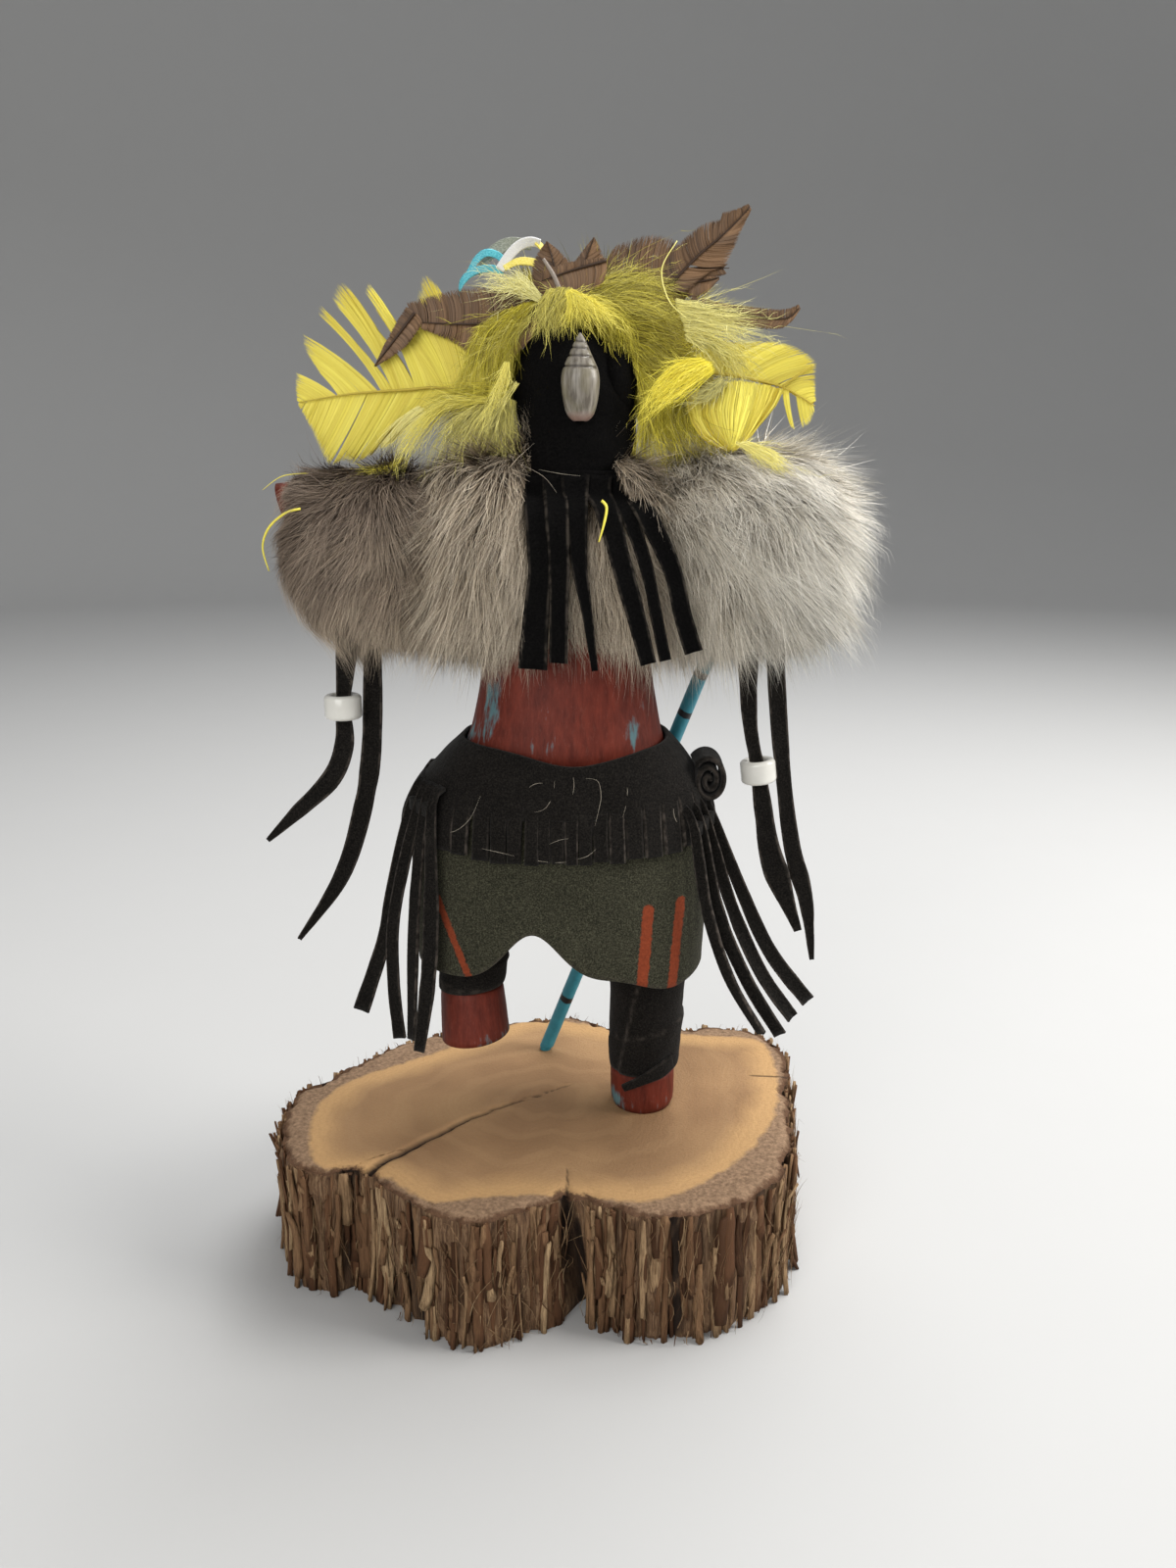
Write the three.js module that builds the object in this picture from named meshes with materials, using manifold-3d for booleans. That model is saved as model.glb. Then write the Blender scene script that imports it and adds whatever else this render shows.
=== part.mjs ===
// Kachina doll: a painted wooden dancer in suede, fur and feathers on a slice of trunk.
// Millimetres, +Z up. The dancer faces -Y. The origin is the middle of the slice's underside.
import * as THREE from 'three';
import { mergeVertices } from 'three/addons/utils/BufferGeometryUtils.js';
import Module from 'manifold-3d';

const wasm = await Module();
wasm.setup();

// Driving sizes of the trunk slice
const sliceThick = 35;
const barkDepth = 2.4;
const barkSteps = 76;
const barkRows = 3;
const checkDepth = 13;
const checkWidth = 1.8;
const splitWidth = 3.2;

// Driving sizes of the figure: every height of the dancer is measured from the slice's top
const footRadius = 8.7;
const raisedFootRadius = 8.9;
const armRadius = 5;
const headWidth = 26.5;
const neckTop = 167.2;
const footSeat = 0.1;

// Driving sizes of what the figure wears and holds
const fitGap = 0.3;
const kiltThick = 1.4;
const beltThick = 1.3;
const hoodThick = 1.3;
const leggingThick = 1.2;
const strapThick = 1.2;
const featherThick = 0.8;
const ribbonThick = 0.7;
const staffRadius = 2.1;
const beadWidth = 9;
const beadLength = 6;
const beadBore = 5;
const tieWidthInBead = 3.3;
const shellLength = 18.6;
const shellWidth = 8.6;
const shellFlatness = 0.86;
const beltCuts = 18;
const beltCutHeight = 13;
const beltCutWidth = 0.5;

// Colours
const colours = {
  wood: 0xb98a55,
  paint: 0x6b2d22,
  suede: 0x15130f,
  kilt: 0x34352a,
  furDark: 0x7a6a5e,
  furTan: 0xb8a68a,
  furPale: 0xd8d0bd,
  yellow: 0xe3cc36,
  brown: 0x6b4a35,
  turquoise: 0x3f9fb5,
  white: 0xe6e3da,
  shell: 0x8d8377,
};

// A repeatable number from 0 to 1 for each whole number
function scatter(n) {
  const wave = Math.sin(n * 12.9898 + 4.137) * 43758.5453;
  return wave - Math.floor(wave);
}

// Moves every corner of a geometry to where place() says
function warp(geometry, place) {
  const corners = geometry.attributes.position;
  const corner = new THREE.Vector3();
  for (let i = 0; i < corners.count; i++) {
    const moved = place(corner.fromBufferAttribute(corners, i));
    corners.setXYZ(i, moved.x, moved.y, moved.z);
  }
  return geometry;
}

// Closed geometry to a solid, turned right side out if it came inside out
function solid(geometry) {
  geometry.deleteAttribute('normal');
  geometry.deleteAttribute('uv');
  const welded = mergeVertices(geometry, 1e-4);
  const corners = new Float32Array(welded.attributes.position.array);
  const faces = new Uint32Array(welded.index.array);
  const [a, b, c] = [new THREE.Vector3(), new THREE.Vector3(), new THREE.Vector3()];
  let volume = 0;
  for (let i = 0; i < faces.length; i += 3) {
    a.fromArray(corners, faces[i] * 3);
    b.fromArray(corners, faces[i + 1] * 3);
    c.fromArray(corners, faces[i + 2] * 3);
    volume += a.dot(b.cross(c));
  }
  if (volume < 0) faces.reverse();
  return new wasm.Manifold(new wasm.Mesh({ numProp: 3, vertProperties: corners, triVerts: faces }));
}

function joined(parts) {
  return parts.reduce((whole, part) => whole.add(part));
}

// The largest of the bodies that a cut leaves
function largest(cut) {
  const bodies = cut.decompose();
  return bodies.reduce((best, body) => (body.volume() > best.volume() ? body : best));
}

function mesh(name, colour, roughness, body) {
  const { vertProperties, triVerts } = body.getMesh();
  const geometry = new THREE.BufferGeometry();
  geometry.setAttribute('position', new THREE.BufferAttribute(new Float32Array(vertProperties), 3));
  geometry.setIndex(new THREE.BufferAttribute(new Uint32Array(triVerts), 1));
  geometry.computeVertexNormals();
  const part = new THREE.Mesh(geometry, new THREE.MeshStandardMaterial({ color: colour, roughness, metalness: 0 }));
  part.name = name;
  return part;
}

// Rounded body through levels, each [height, middle x, half width, depth in front, depth behind].
// squareness 2 is an ellipse and more is boxier. hem(x, y) sets the height of the lowest edge.
function rounded(levels, { sides = 24, squareness = 2, grow = 0, hem = null } = {}) {
  const rows = levels.length - 1;
  const geometry = new THREE.CylinderGeometry(1, 1, 1, sides, rows).rotateX(Math.PI / 2);
  return solid(warp(geometry, (corner) => {
    const row = Math.round((corner.z + 0.5) * rows);
    const [height, middle, half, front, back] = levels[row];
    const end = row === 0 ? -grow : row === rows ? grow : 0;
    const depth = (corner.y < 0 ? front : back) + grow;
    const [across, deep] = [Math.abs(corner.x) / (half + grow), Math.abs(corner.y) / depth];
    const reach = Math.max((across ** squareness + deep ** squareness) ** (1 / squareness), 1e-9);
    const rim = Math.hypot(corner.x, corner.y) < 0.5 ? 0 : 1 / reach;
    const [x, y] = [corner.x * rim, corner.y * rim];
    return new THREE.Vector3(middle + x, y, row === 0 && hem ? hem(middle + x, y) : height + end);
  }));
}

// Round limb through [x, y, z, radius] stations, with level rings. slant tilts the first ring.
function limb(stations, { sides = 14, grow = 0, slant = 0 } = {}) {
  const rows = stations.length - 1;
  const geometry = new THREE.CylinderGeometry(1, 1, 1, sides, rows).rotateX(Math.PI / 2);
  return solid(warp(geometry, (corner) => {
    const row = Math.round((corner.z + 0.5) * rows);
    const [x, y, z, radius] = stations[row];
    const reach = radius + grow;
    const end = row === 0 ? slant * corner.x * reach - grow : row === rows ? grow : 0;
    return new THREE.Vector3(x + corner.x * reach, y + corner.y * reach, z + end);
  }));
}

// Sideways limb through [x, y, z] ends, with upright rings. slant tilts the far ring.
function arm(from, to, { grow = 0, slant = 0 } = {}) {
  const geometry = new THREE.CylinderGeometry(1, 1, 1, 10, 1).rotateZ(-Math.PI / 2);
  const reach = armRadius + grow;
  return solid(warp(geometry, (corner) => {
    const share = corner.x + 0.5;
    const end = (share - 0.5) * 2 * grow * Math.sign(to[0] - from[0]);
    return new THREE.Vector3(
      THREE.MathUtils.lerp(from[0], to[0], share) + end + share * slant * corner.y * reach,
      THREE.MathUtils.lerp(from[1], to[1], share) - corner.z * reach,
      THREE.MathUtils.lerp(from[2], to[2], share) + corner.y * reach,
    );
  }));
}

// Soft tuft: a ball stretched to its reach along x, y and z, with locks standing out of it.
// squareness shapes its front view and depthPower how full it is in depth.
function tuft(centre, reach, shape = {}) {
  const { squareness = 2.3, depthPower = 2.2, locks = 0, seed = 0, grow = 0, around = 18, down = 11 } = shape;
  const geometry = new THREE.SphereGeometry(1, around, down).rotateX(Math.PI / 2);
  return solid(warp(geometry, (corner) => {
    const { x, y, z } = corner;
    const view = (Math.abs(x) ** squareness + Math.abs(z) ** squareness) ** (depthPower / squareness);
    const ball = (view + Math.abs(y) ** depthPower) ** (-1 / depthPower);
    const angle = Math.atan2(y, x);
    const level = Math.abs(z) > 0.999 ? 0 : 1;
    const lock = locks * level * Math.sin(5 * angle + 6 * z + seed) * Math.sin(9 * z - 2 * angle + 2.1 * seed);
    const out = lock + grow;
    return new THREE.Vector3(
      centre[0] + x * (ball * reach[0] + out),
      centre[1] + y * (ball * reach[1] + out),
      centre[2] + z * (ball * reach[2] + out),
    );
  }));
}

// Flat strip of suede along a route. across is the direction of its width.
function strip(route, across, widths, { thick = strapThick, steps = 6, grow = 0 } = {}) {
  const curve = new THREE.CatmullRomCurve3(route.map((point) => new THREE.Vector3(...point)));
  const geometry = new THREE.BoxGeometry(1, 1, 1, 1, 1, steps);
  return solid(warp(geometry, (corner) => {
    const share = corner.z + 0.5;
    const along = curve.getTangent(share);
    const side = new THREE.Vector3(...across).addScaledVector(along, -along.dot(new THREE.Vector3(...across)));
    side.normalize();
    const face = along.clone().cross(side);
    const place = share * (widths.length - 1);
    const low = Math.min(Math.floor(place), widths.length - 2);
    const width = THREE.MathUtils.lerp(widths[low], widths[low + 1], place - low) + 2 * grow;
    return curve.getPoint(share)
      .addScaledVector(side, corner.x * width)
      .addScaledVector(face, corner.y * (thick + 2 * grow))
      .addScaledVector(along, share === 0 ? -grow : share === 1 ? grow : 0);
  }));
}

// Upright plate with an outline of [x, z] points, its front face at depth y, arched about its middle
function plate(outline, depth, thick, arch = 0) {
  const shape = new THREE.Shape(outline.map(([x, z]) => new THREE.Vector2(x, z)));
  const geometry = new THREE.ExtrudeGeometry(shape, { depth: thick, bevelEnabled: false });
  const xs = outline.map(([x]) => x);
  const [left, right] = [Math.min(...xs), Math.max(...xs)];
  return solid(warp(geometry, (corner) => {
    const share = (2 * corner.x - left - right) / (right - left);
    return new THREE.Vector3(corner.x, depth + thick - corner.z + arch * share * share, corner.y);
  }));
}

// Turned body with its axis upright, from an outline of [radius, height] points
function turned(outline, sides) {
  const points = outline.map(([radius, height]) => new THREE.Vector2(radius, height));
  return solid(new THREE.LatheGeometry(points, sides).rotateX(Math.PI / 2));
}

// The trunk slice: a lobed rim with ridged bark, a long check and a split in front
const rimPoints = [
  [73, 26], [65, 43], [43, 45], [25, 43], [9, 52], [-13, 49], [-42, 37], [-61, 17],
  [-72, 1], [-67, -27], [-55, -36], [-44, -36], [-30, -49], [-15, -56], [-2, -51], [9, -46],
  [22, -52], [34, -54], [46, -50], [57, -43], [66, -28], [71, 6],
];
const checkRoute = [[-52, -44], [-38, -28], [-27, -17], [-15, -6], [-3, 2], [5, 7]];
const splitRoute = [[8, -62], [8.5, -50], [9.5, -38]];

function rim(share, inward) {
  const curve = new THREE.CatmullRomCurve3(rimPoints.map(([x, y]) => new THREE.Vector3(x, y, 0)), true);
  const point = curve.getPointAt(share - Math.floor(share));
  return point.multiplyScalar(1 - inward / point.length());
}

// A wedge along a route on the slice's top, from full width at its start to a hair at its end
function wedge(route, width, bottom) {
  const outline = [];
  route.forEach(([x, y], i) => outline.push([x, y - width * (1 - i / route.length) / 2]));
  [...route].reverse().forEach(([x, y], i) => outline.push([x, y + width * ((i + 1) / route.length) / 2]));
  const shape = new THREE.Shape(outline.map(([x, y]) => new THREE.Vector2(x, y)));
  const geometry = new THREE.ExtrudeGeometry(shape, { depth: sliceThick + 2 - bottom, bevelEnabled: false });
  return solid(geometry.translate(0, 0, bottom));
}

function trunkSlice() {
  const geometry = new THREE.CylinderGeometry(1, 1, 1, barkSteps, barkRows).rotateX(Math.PI / 2);
  const block = solid(warp(geometry, (corner) => {
    const height = (corner.z + 0.5) * sliceThick;
    if (Math.hypot(corner.x, corner.y) < 0.5) return new THREE.Vector3(0, 0, height);
    const share = Math.atan2(corner.y, corner.x) / (2 * Math.PI);
    const step = Math.round(((share + 1) % 1) * barkSteps) % barkSteps;
    const row = Math.round((corner.z + 0.5) * barkRows);
    const ridge = row === barkRows ? 0.35 * scatter(step) : scatter(step) - 0.35 + 0.3 * scatter(step * 7 + row);
    const point = rim(step / barkSteps, ridge * barkDepth);
    return point.setZ(height);
  }));
  return block
    .subtract(wedge(checkRoute, checkWidth, sliceThick - checkDepth))
    .subtract(frontSplit());
}

// The split runs down the whole side, so its route is widened across x
function frontSplit() {
  const [outer, lip, end] = splitRoute;
  const outline = [
    [outer[0] - splitWidth, outer[1]], [outer[0] + splitWidth, outer[1]],
    [lip[0] + splitWidth / 2, lip[1]], [end[0], end[1]], [lip[0] - splitWidth / 2, lip[1]],
  ];
  const shape = new THREE.Shape(outline.map(([x, y]) => new THREE.Vector2(x, y)));
  const geometry = new THREE.ExtrudeGeometry(shape, { depth: sliceThick + 4, bevelEnabled: false });
  return solid(geometry.translate(0, 0, -2));
}

// The carved figure: one piece from the foot to the crown
const torsoLevels = [
  [64, 5, 22, 12, 9],
  [70, 5, 30, 16, 11.5],
  [80, 5, 34.5, 18.5, 12.5],
  [88, 5, 34.5, 19, 13],
  [94, 5.4, 31.5, 19, 14],
  [99, 6, 28, 19.6, 16.5],
  [104, 6.6, 24.8, 20.6, 19],
  [112, 6.9, 22.8, 19.6, 18.6],
  [122, 7, 21.1, 18.2, 17.5],
  [140, 7.2, 19, 16, 15.5],
  [154, 7.8, 16, 13.5, 13],
  [neckTop - 4.2, 8.6, 10.6, 10.4, 10],
  [neckTop - 0.2, 8.8, 9.6, 9.6, 9.4],
];
const headHalf = headWidth / 2;
const headLevels = [
  [neckTop - 5.2, 8.7, 9.5, 9.5, 9],
  [neckTop, 8.8, 0.94 * headHalf, 0.94 * headHalf + 2, 0.94 * headHalf],
  [neckTop + 7.8, 9, headHalf, headHalf + 2.1, headHalf],
  [neckTop + 16.8, 8.9, 0.95 * headHalf, headHalf + 1.6, headHalf],
  [neckTop + 22.8, 8, 0.82 * headHalf, headHalf, 0.93 * headHalf],
  [neckTop + 27.8, 7.2, 0.63 * headHalf, 0.78 * headHalf, 0.75 * headHalf],
  [neckTop + 31.3, 7, 0.35 * headHalf, 0.42 * headHalf, 0.42 * headHalf],
];
const raisedLeg = [-17.5, -8.6];
const standingLeg = [27.3, 0];
const leftShoulder = [4, 0, 160];
const leftHand = [-61.2, -2, 161.2];
const rightShoulder = [13, 0, 159];
const rightHand = [62, 2, 157];
const ankle = 12;
const standingWrapTop = 60;
const raisedKnee = 39;

function torso(grow = 0) {
  return rounded(torsoLevels, { sides: 18, squareness: 2.2, grow });
}

function standingLimb(grow = 0) {
  const [x, y] = standingLeg;
  const shin = footRadius - leggingThick + 0.4;
  return limb([
    [x, y, footSeat, footRadius - 0.8],
    [x, y, 5, footRadius],
    [x, y, ankle - fitGap, footRadius - 0.1],
    [x + 0.3, y, ankle + 0.6, shin],
    [x + 1, y, 36, shin + 0.3],
    [x - 1, y, 60, shin + 0.8],
    [x - 5, y + 0.5, 80, shin + 2],
  ], { grow });
}

function raisedLimb(grow = 0) {
  const [x, y] = raisedLeg;
  const shin = raisedFootRadius - leggingThick - 0.7;
  return limb([
    [x, y, 24.8, raisedFootRadius],
    [x - 0.7, y + 0.8, raisedKnee - fitGap, shin + 1.1],
    [x - 0.7, y + 1.2, raisedKnee + 0.6, shin],
    [x + 1, y + 3.5, 58, shin + 0.6],
    [x + 4, y + 6.5, 80, shin + 2],
  ], { grow, slant: 0.18 });
}

function arms(grow = 0) {
  const slant = -0.25;
  return arm(leftShoulder, leftHand, { grow, slant }).add(arm(rightShoulder, rightHand, { grow }));
}

function carvedFigure(grow = 0) {
  return joined([
    torso(grow),
    standingLimb(grow),
    raisedLimb(grow),
    arms(grow),
    rounded(headLevels, { sides: 16, grow }),
  ]);
}

// The suede hood, with a pinched fold beside the crown
const chinHeight = neckTop - 0.7;
const foldCentre = [18.9, -3, neckTop + 21];
const foldReach = [4.6, 9, 8.6];

function hoodOuter(grow = 0) {
  const out = hoodThick + fitGap + grow;
  const crown = headLevels.length - 2;
  const levels = headLevels.slice(1).map(([height, middle, half, front, back], row) => [
    row === 0 ? chinHeight - grow : row === crown ? height + out : height,
    middle, half + out, front + out, back + out,
  ]);
  return rounded(levels, { sides: 16 }).add(tuft(foldCentre, foldReach, { around: 10, down: 7, grow }));
}

function suedeHood() {
  return hoodOuter().subtract(carvedFigure(fitGap));
}

// The band under the chin and the strips that hang from it over the fur
const chinFront = -(headHalf + 2.1 + hoodThick + fitGap) - 0.4;
const bandWidth = 4.4;
const bandHalf = 14.4;
const bandMiddle = 9;
const bandBend = 4.5;
const stripLift = 0.7;
const stripRoute = [[-23.4, 159], [-25, 147.5], [-25.4, 137]];
const stripEndDepth = -25;
const chinStrips = [
  { top: -2.6, mid: 0.3, low: -0.3, end: 125.4, widths: [3.6, 5, 5.6, 6.4] },
  { top: 3, mid: 6, low: 5.8, end: 126.9, widths: [3.6, 3.8, 3.8, 4] },
  { top: 7.4, mid: 10.2, low: 13.9, end: 125, widths: [3, 3, 2.4, 1.4] },
  { top: 14.2, mid: 20, low: 26.1, end: 126.7, widths: [4, 4.4, 4.2, 3.6] },
  { top: 18.4, mid: 25, low: 30, end: 127.4, widths: [2.4, 2.6, 2.6, 2.7] },
  { top: 22, mid: 30.4, low: 36.4, end: 129.4, widths: [3.4, 3.8, 3.8, 4] },
];

function chinFringe(grow = 0) {
  const height = chinHeight - fitGap - bandWidth / 2;
  const bandRoute = [-1, -0.6, 0, 0.6, 1].map((share) => [
    bandMiddle + share * bandHalf, chinFront + bandBend * share * share, height,
  ]);
  const band = strip(bandRoute, [0, 0, 1], [bandWidth, bandWidth], { steps: 8, grow });
  const strips = chinStrips.map(({ top, mid, low, end, widths }, i) => {
    const curve = bandBend * ((top - bandMiddle) / bandHalf) ** 2;
    const lift = stripLift * (i % 2);
    const across = [top + 0.4 * (mid - top), mid, (mid + low) / 2];
    return strip([
      [top, chinFront + curve, height],
      ...stripRoute.map(([y, z], k) => [across[k], y - lift, z]),
      [low, stripEndDepth - lift, end],
    ], [1, 0, 0], widths, { grow });
  });
  return joined([band, ...strips]);
}

// The olive shell glued to the face, spire up
const shellFoot = [10.6, chinFront + 0.1, neckTop + 12];

function shellBody(grow = 0) {
  const half = shellWidth / 2 + grow;
  const outline = [
    [0, 0], [0.4 * half, 0], [0.72 * half, 0.09 * shellLength], [0.93 * half, 0.27 * shellLength],
    [half, 0.47 * shellLength], [0.93 * half, 0.58 * shellLength], [0.83 * half, 0.63 * shellLength],
    [0.6 * half, 0.76 * shellLength], [0.55 * half, 0.77 * shellLength],
    [0.35 * half, 0.87 * shellLength], [0, shellLength],
  ];
  const [x, y, z] = shellFoot;
  return turned(outline, 12).scale([1, shellFlatness, 1]).translate([x, y, z - grow]);
}

function oliveShell() {
  return shellBody().subtract(hoodOuter(fitGap));
}

// The kilt, from under the belt to a scalloped hem
const kiltLevels = [
  [46, 5, 38, 22.6, 16],
  [66, 5, 38.2, 22.8, 16.2],
  [84, 5, 38, 22.4, 16],
  [91, 5.2, 35.4, 21.8, 16.6],
  [96, 5.7, 31.8, 21.4, 17.6],
  [99.5, 6.2, 29.4, 21.6, 18.6],
];
const kiltSquareness = 2.5;
const kiltSides = 24;
const kiltHemHeight = 45.5;
const hemArch = { height: 12.5, middle: -1.5, spread: 9.5 };
const hemDip = { height: 3.4, middle: 33, spread: 9 };
const hemWave = { height: 1.5, length: 7 };

// The hem rises in an arch between the legs in front and dips over the standing leg
function kiltHem(x, y) {
  const hump = ({ height, middle, spread }) => height * Math.exp(-(((x - middle) / spread) ** 2));
  if (y > 0.05 * kiltLevels[0][3]) return kiltHemHeight + hemWave.height * Math.sin(x / hemWave.length);
  return kiltHemHeight + hump(hemArch) - hump(hemDip);
}

function kiltOuter(grow = 0) {
  return rounded(kiltLevels, { sides: kiltSides, squareness: kiltSquareness, grow, hem: kiltHem });
}

function kilt() {
  const inner = kiltLevels.map(([z, x, half, front, back], row) => [
    row === 0 ? z - 25 : z, x, half - kiltThick, front - kiltThick, back - kiltThick,
  ]);
  inner[inner.length - 1][0] += 3;
  const hollow = rounded(inner, { sides: kiltSides, squareness: kiltSquareness });
  return kiltOuter().subtract(hollow).subtract(torso(fitGap));
}

// The fringed belt over the kilt's top, with a rolled end at the right hip
const beltTop = 104.6;
const beltHemHeight = 82.6;
const beltDrop = 4.6;
const beltLevels = [
  [80, 5, 38.6, 23, 16.6],
  [86, 5, 38, 22.6, 16.6],
  [92.5, 5.3, 35.2, 22.2, 17],
  [97, 5.8, 31.6, 21.8, 18],
  [beltTop - 4.1, 6.3, 28.8, 21.6, 18.8],
  [beltTop, 6.7, 24.8, 20.6, 19],
];
const rollCentre = [42.4, 94.4];
const rollRadius = 6.4;
const rollWind = 2.2;
const rollLength = 12;

function beltHem(x, y) {
  const front = Math.max(0, -y) / kiltLevels[0][3];
  return beltHemHeight - beltDrop * front ** 2;
}

function beltOuter(grow = 0) {
  const out = fitGap + beltThick + grow;
  const flare = beltLevels.map(([height, middle, half, front, back]) => [
    height === beltTop ? height + grow : height, middle, half + out, front + out, back + out,
  ]);
  return rounded(flare, { sides: kiltSides, squareness: kiltSquareness, hem: beltHem });
}

function beltRoll() {
  const turns = 1.35;
  const steps = 14;
  const outline = [];
  for (let side = 0; side < 2; side++) {
    for (let i = 0; i <= steps; i++) {
      const share = side ? 1 - i / steps : i / steps;
      const angle = Math.PI * 0.75 - share * turns * 2 * Math.PI;
      const radius = rollRadius - rollWind * share - side * beltThick * 0.8;
      outline.push([rollCentre[0] + 0.75 * radius * Math.cos(angle), rollCentre[1] + radius * Math.sin(angle)]);
    }
  }
  return plate(outline, -rollLength, rollLength);
}

function fringedBelt() {
  const cuts = [];
  for (let i = 0; i < beltCuts; i++) {
    const angle = (2 * Math.PI * (i + 0.3 * scatter(i))) / beltCuts;
    const reach = kiltLevels[0][2];
    const bottom = beltHemHeight - 2 * beltDrop;
    const top = beltHem(0, kiltLevels[0][3] * Math.sin(angle)) + beltCutHeight - beltThick;
    const cut = new THREE.BoxGeometry(beltCutWidth, reach, top - bottom).translate(0, 0.8 * reach, 0);
    cut.rotateZ(angle - Math.PI / 2);
    cut.translate(beltLevels[0][1], 0, (top + bottom) / 2);
    cuts.push(solid(cut));
  }
  const sheet = beltOuter().subtract(kiltOuter(fitGap)).subtract(torso(fitGap)).subtract(joined(cuts));
  return largest(sheet.add(beltRoll().subtract(kiltOuter(fitGap))));
}

// The long fringes at the hips: strips that leave one knot and fan out
const leftFringe = [
  { route: [[-31.2, -12, 90], [-36.8, -12, 68.2], [-40.1, -12, 52.3], [-46.8, -12, 33]], widths: [3, 3.4, 3.8, 4.4] },
  { route: [[-29.2, -15, 90], [-36.4, -15, 61.5], [-37.5, -15, 42.7], [-36.6, -15, 26.6]], widths: [3, 3.2, 3.2, 3.4] },
  { route: [[-27.4, -17.6, 90], [-31, -17.6, 62.5], [-33, -17.6, 27.5]], widths: [3, 3.2, 2.6] },
  { route: [[-25.4, -20.4, 90], [-26.4, -20.4, 63.6], [-27.8, -20.4, 45.2], [-30.8, -20.4, 25.6]],
    widths: [3, 4, 4, 3] },
];
const rightFringe = [
  { route: [[43.2, -11, 86], [51, -11, 66.6], [59.2, -11, 49.1], [69.7, -11, 35.1]], widths: [3, 3.4, 3.8, 4] },
  { route: [[41.6, -13.6, 85.5], [48.2, -13.6, 63.6], [56.4, -13.6, 44.8], [65.3, -13.6, 31.6]],
    widths: [3, 3.4, 3.6, 3.4] },
  { route: [[40, -16.4, 85], [45, -16.4, 62], [52.8, -16.4, 43.4], [61.9, -16.4, 28.3]], widths: [3, 3.4, 3.4, 3.4] },
  { route: [[38.2, -19, 84.5], [42, -19, 63], [48.2, -19, 44.6], [56.7, -19, 29.9]], widths: [3, 3.2, 3, 2.6] },
];

const knotDrop = 1.6;
const knotWidth = 5;
const knotThick = 2;

function hipFringe(strips) {
  const tops = strips.map(({ route }) => route[0]);
  const knotRoute = [tops[0], tops[tops.length - 1]].map(([x, y, z]) => [x, y, z - knotDrop]);
  const knot = strip(knotRoute, [0, 0, 1], [knotWidth, knotWidth], { steps: 2, thick: knotThick });
  const hanging = strips.map(({ route, widths }) => strip(route, [1, -0.25, 0], widths));
  return largest(joined([knot, ...hanging]).subtract(beltOuter(fitGap)).subtract(kiltOuter(fitGap)));
}

// Suede wraps on the legs
function standingLegging() {
  const [x, y] = standingLeg;
  const radius = footRadius + 0.4 + fitGap;
  const tube = limb([
    [x, y, ankle, radius],
    [x + 0.5, y, 24, radius + 0.2],
    [x + 1, y, 36, radius + 0.6],
    [x, y, standingWrapTop - 12, radius + 0.8],
  ]);
  const tail = strip([[x + 3.4, y - 9, 13.6], [x - 0.6, y - 10.4, 12], [x - 6.4, y - 10, 8.6]], [0, 0, 1], [3, 3, 2.2]);
  return tube.add(tail).subtract(standingLimb(fitGap));
}

function raisedLegging() {
  const [x, y] = raisedLeg;
  const radius = raisedFootRadius - 0.2;
  const tube = limb([
    [x - 0.7, y + 1.2, raisedKnee, radius],
    [x - 0.4, y + 1.8, raisedKnee + 6, radius],
    [x, y + 2.6, raisedKnee + 12, radius],
  ], { slant: 0.08 });
  return tube.subtract(raisedLimb(fitGap));
}

// The staff leans from the slice behind the legs into the right sleeve
const staffFoot = [-0.6, 29.2];
const staffTop = [54.9, 14.5, 150];

function staff(grow = 0) {
  return limb([
    [...staffFoot, footSeat, staffRadius],
    [...staffTop, staffRadius],
  ], { sides: 12, grow });
}

// The ties on the arms and their barrel beads
const ties = {
  tie_left_1: {
    route: [[-44.6, -12, 136], [-46.2, -12, 122], [-47.2, -12, 113.4], [-47.4, -12, 104], [-51.2, -12, 95.2],
      [-61, -12, 85.8], [-67.8, -12, 79.4]],
    widths: [5, 5, tieWidthInBead, 4.8, 4.8, 3.6, 1.5],
  },
  tie_left_2: {
    route: [[-39.6, -9, 136], [-41.2, -9, 104], [-44.8, -9, 85.1], [-51, -9, 68.2], [-62.5, -9, 51.7]],
    widths: [4.4, 4.6, 4.8, 4.4, 1.6],
  },
  tie_right_1: {
    route: [[51.4, -4, 134], [52.8, -4, 109.2], [55.5, -4, 95.3], [57.4, -4, 84], [60, -4, 71.6], [67.6, -4, 52]],
    widths: [5.2, 4.6, tieWidthInBead, 4.8, 6.6, 2],
  },
  tie_right_2: {
    route: [[58, -1, 136], [61.4, -1, 101.6], [65.3, -1, 75.5], [69.9, -1, 59.2], [72.3, -1, 42.5]],
    widths: [4.6, 4.6, 3.9, 4.8, 1.5],
  },
};
const beads = {
  bead_left: { centre: [-47.2, -12, 113.4], tilt: 0 },
  bead_right: { centre: [55.5, -4, 95.3], tilt: -0.12 },
};

function tie({ route, widths }, grow = 0) {
  return strip(route, [1, 0, 0], widths, { steps: 12, grow });
}

function bead({ centre, tilt }) {
  const [outer, bore, half] = [beadWidth / 2, beadBore / 2, beadLength / 2];
  const ring = turned([
    [bore, -half], [outer - 0.9, -half], [outer, -0.4 * half],
    [outer, 0.4 * half], [outer - 0.9, half], [bore, half], [bore, -half],
  ], 14);
  return ring.rotate([0, (tilt * 180) / Math.PI, 0]).translate(centre);
}

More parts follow.
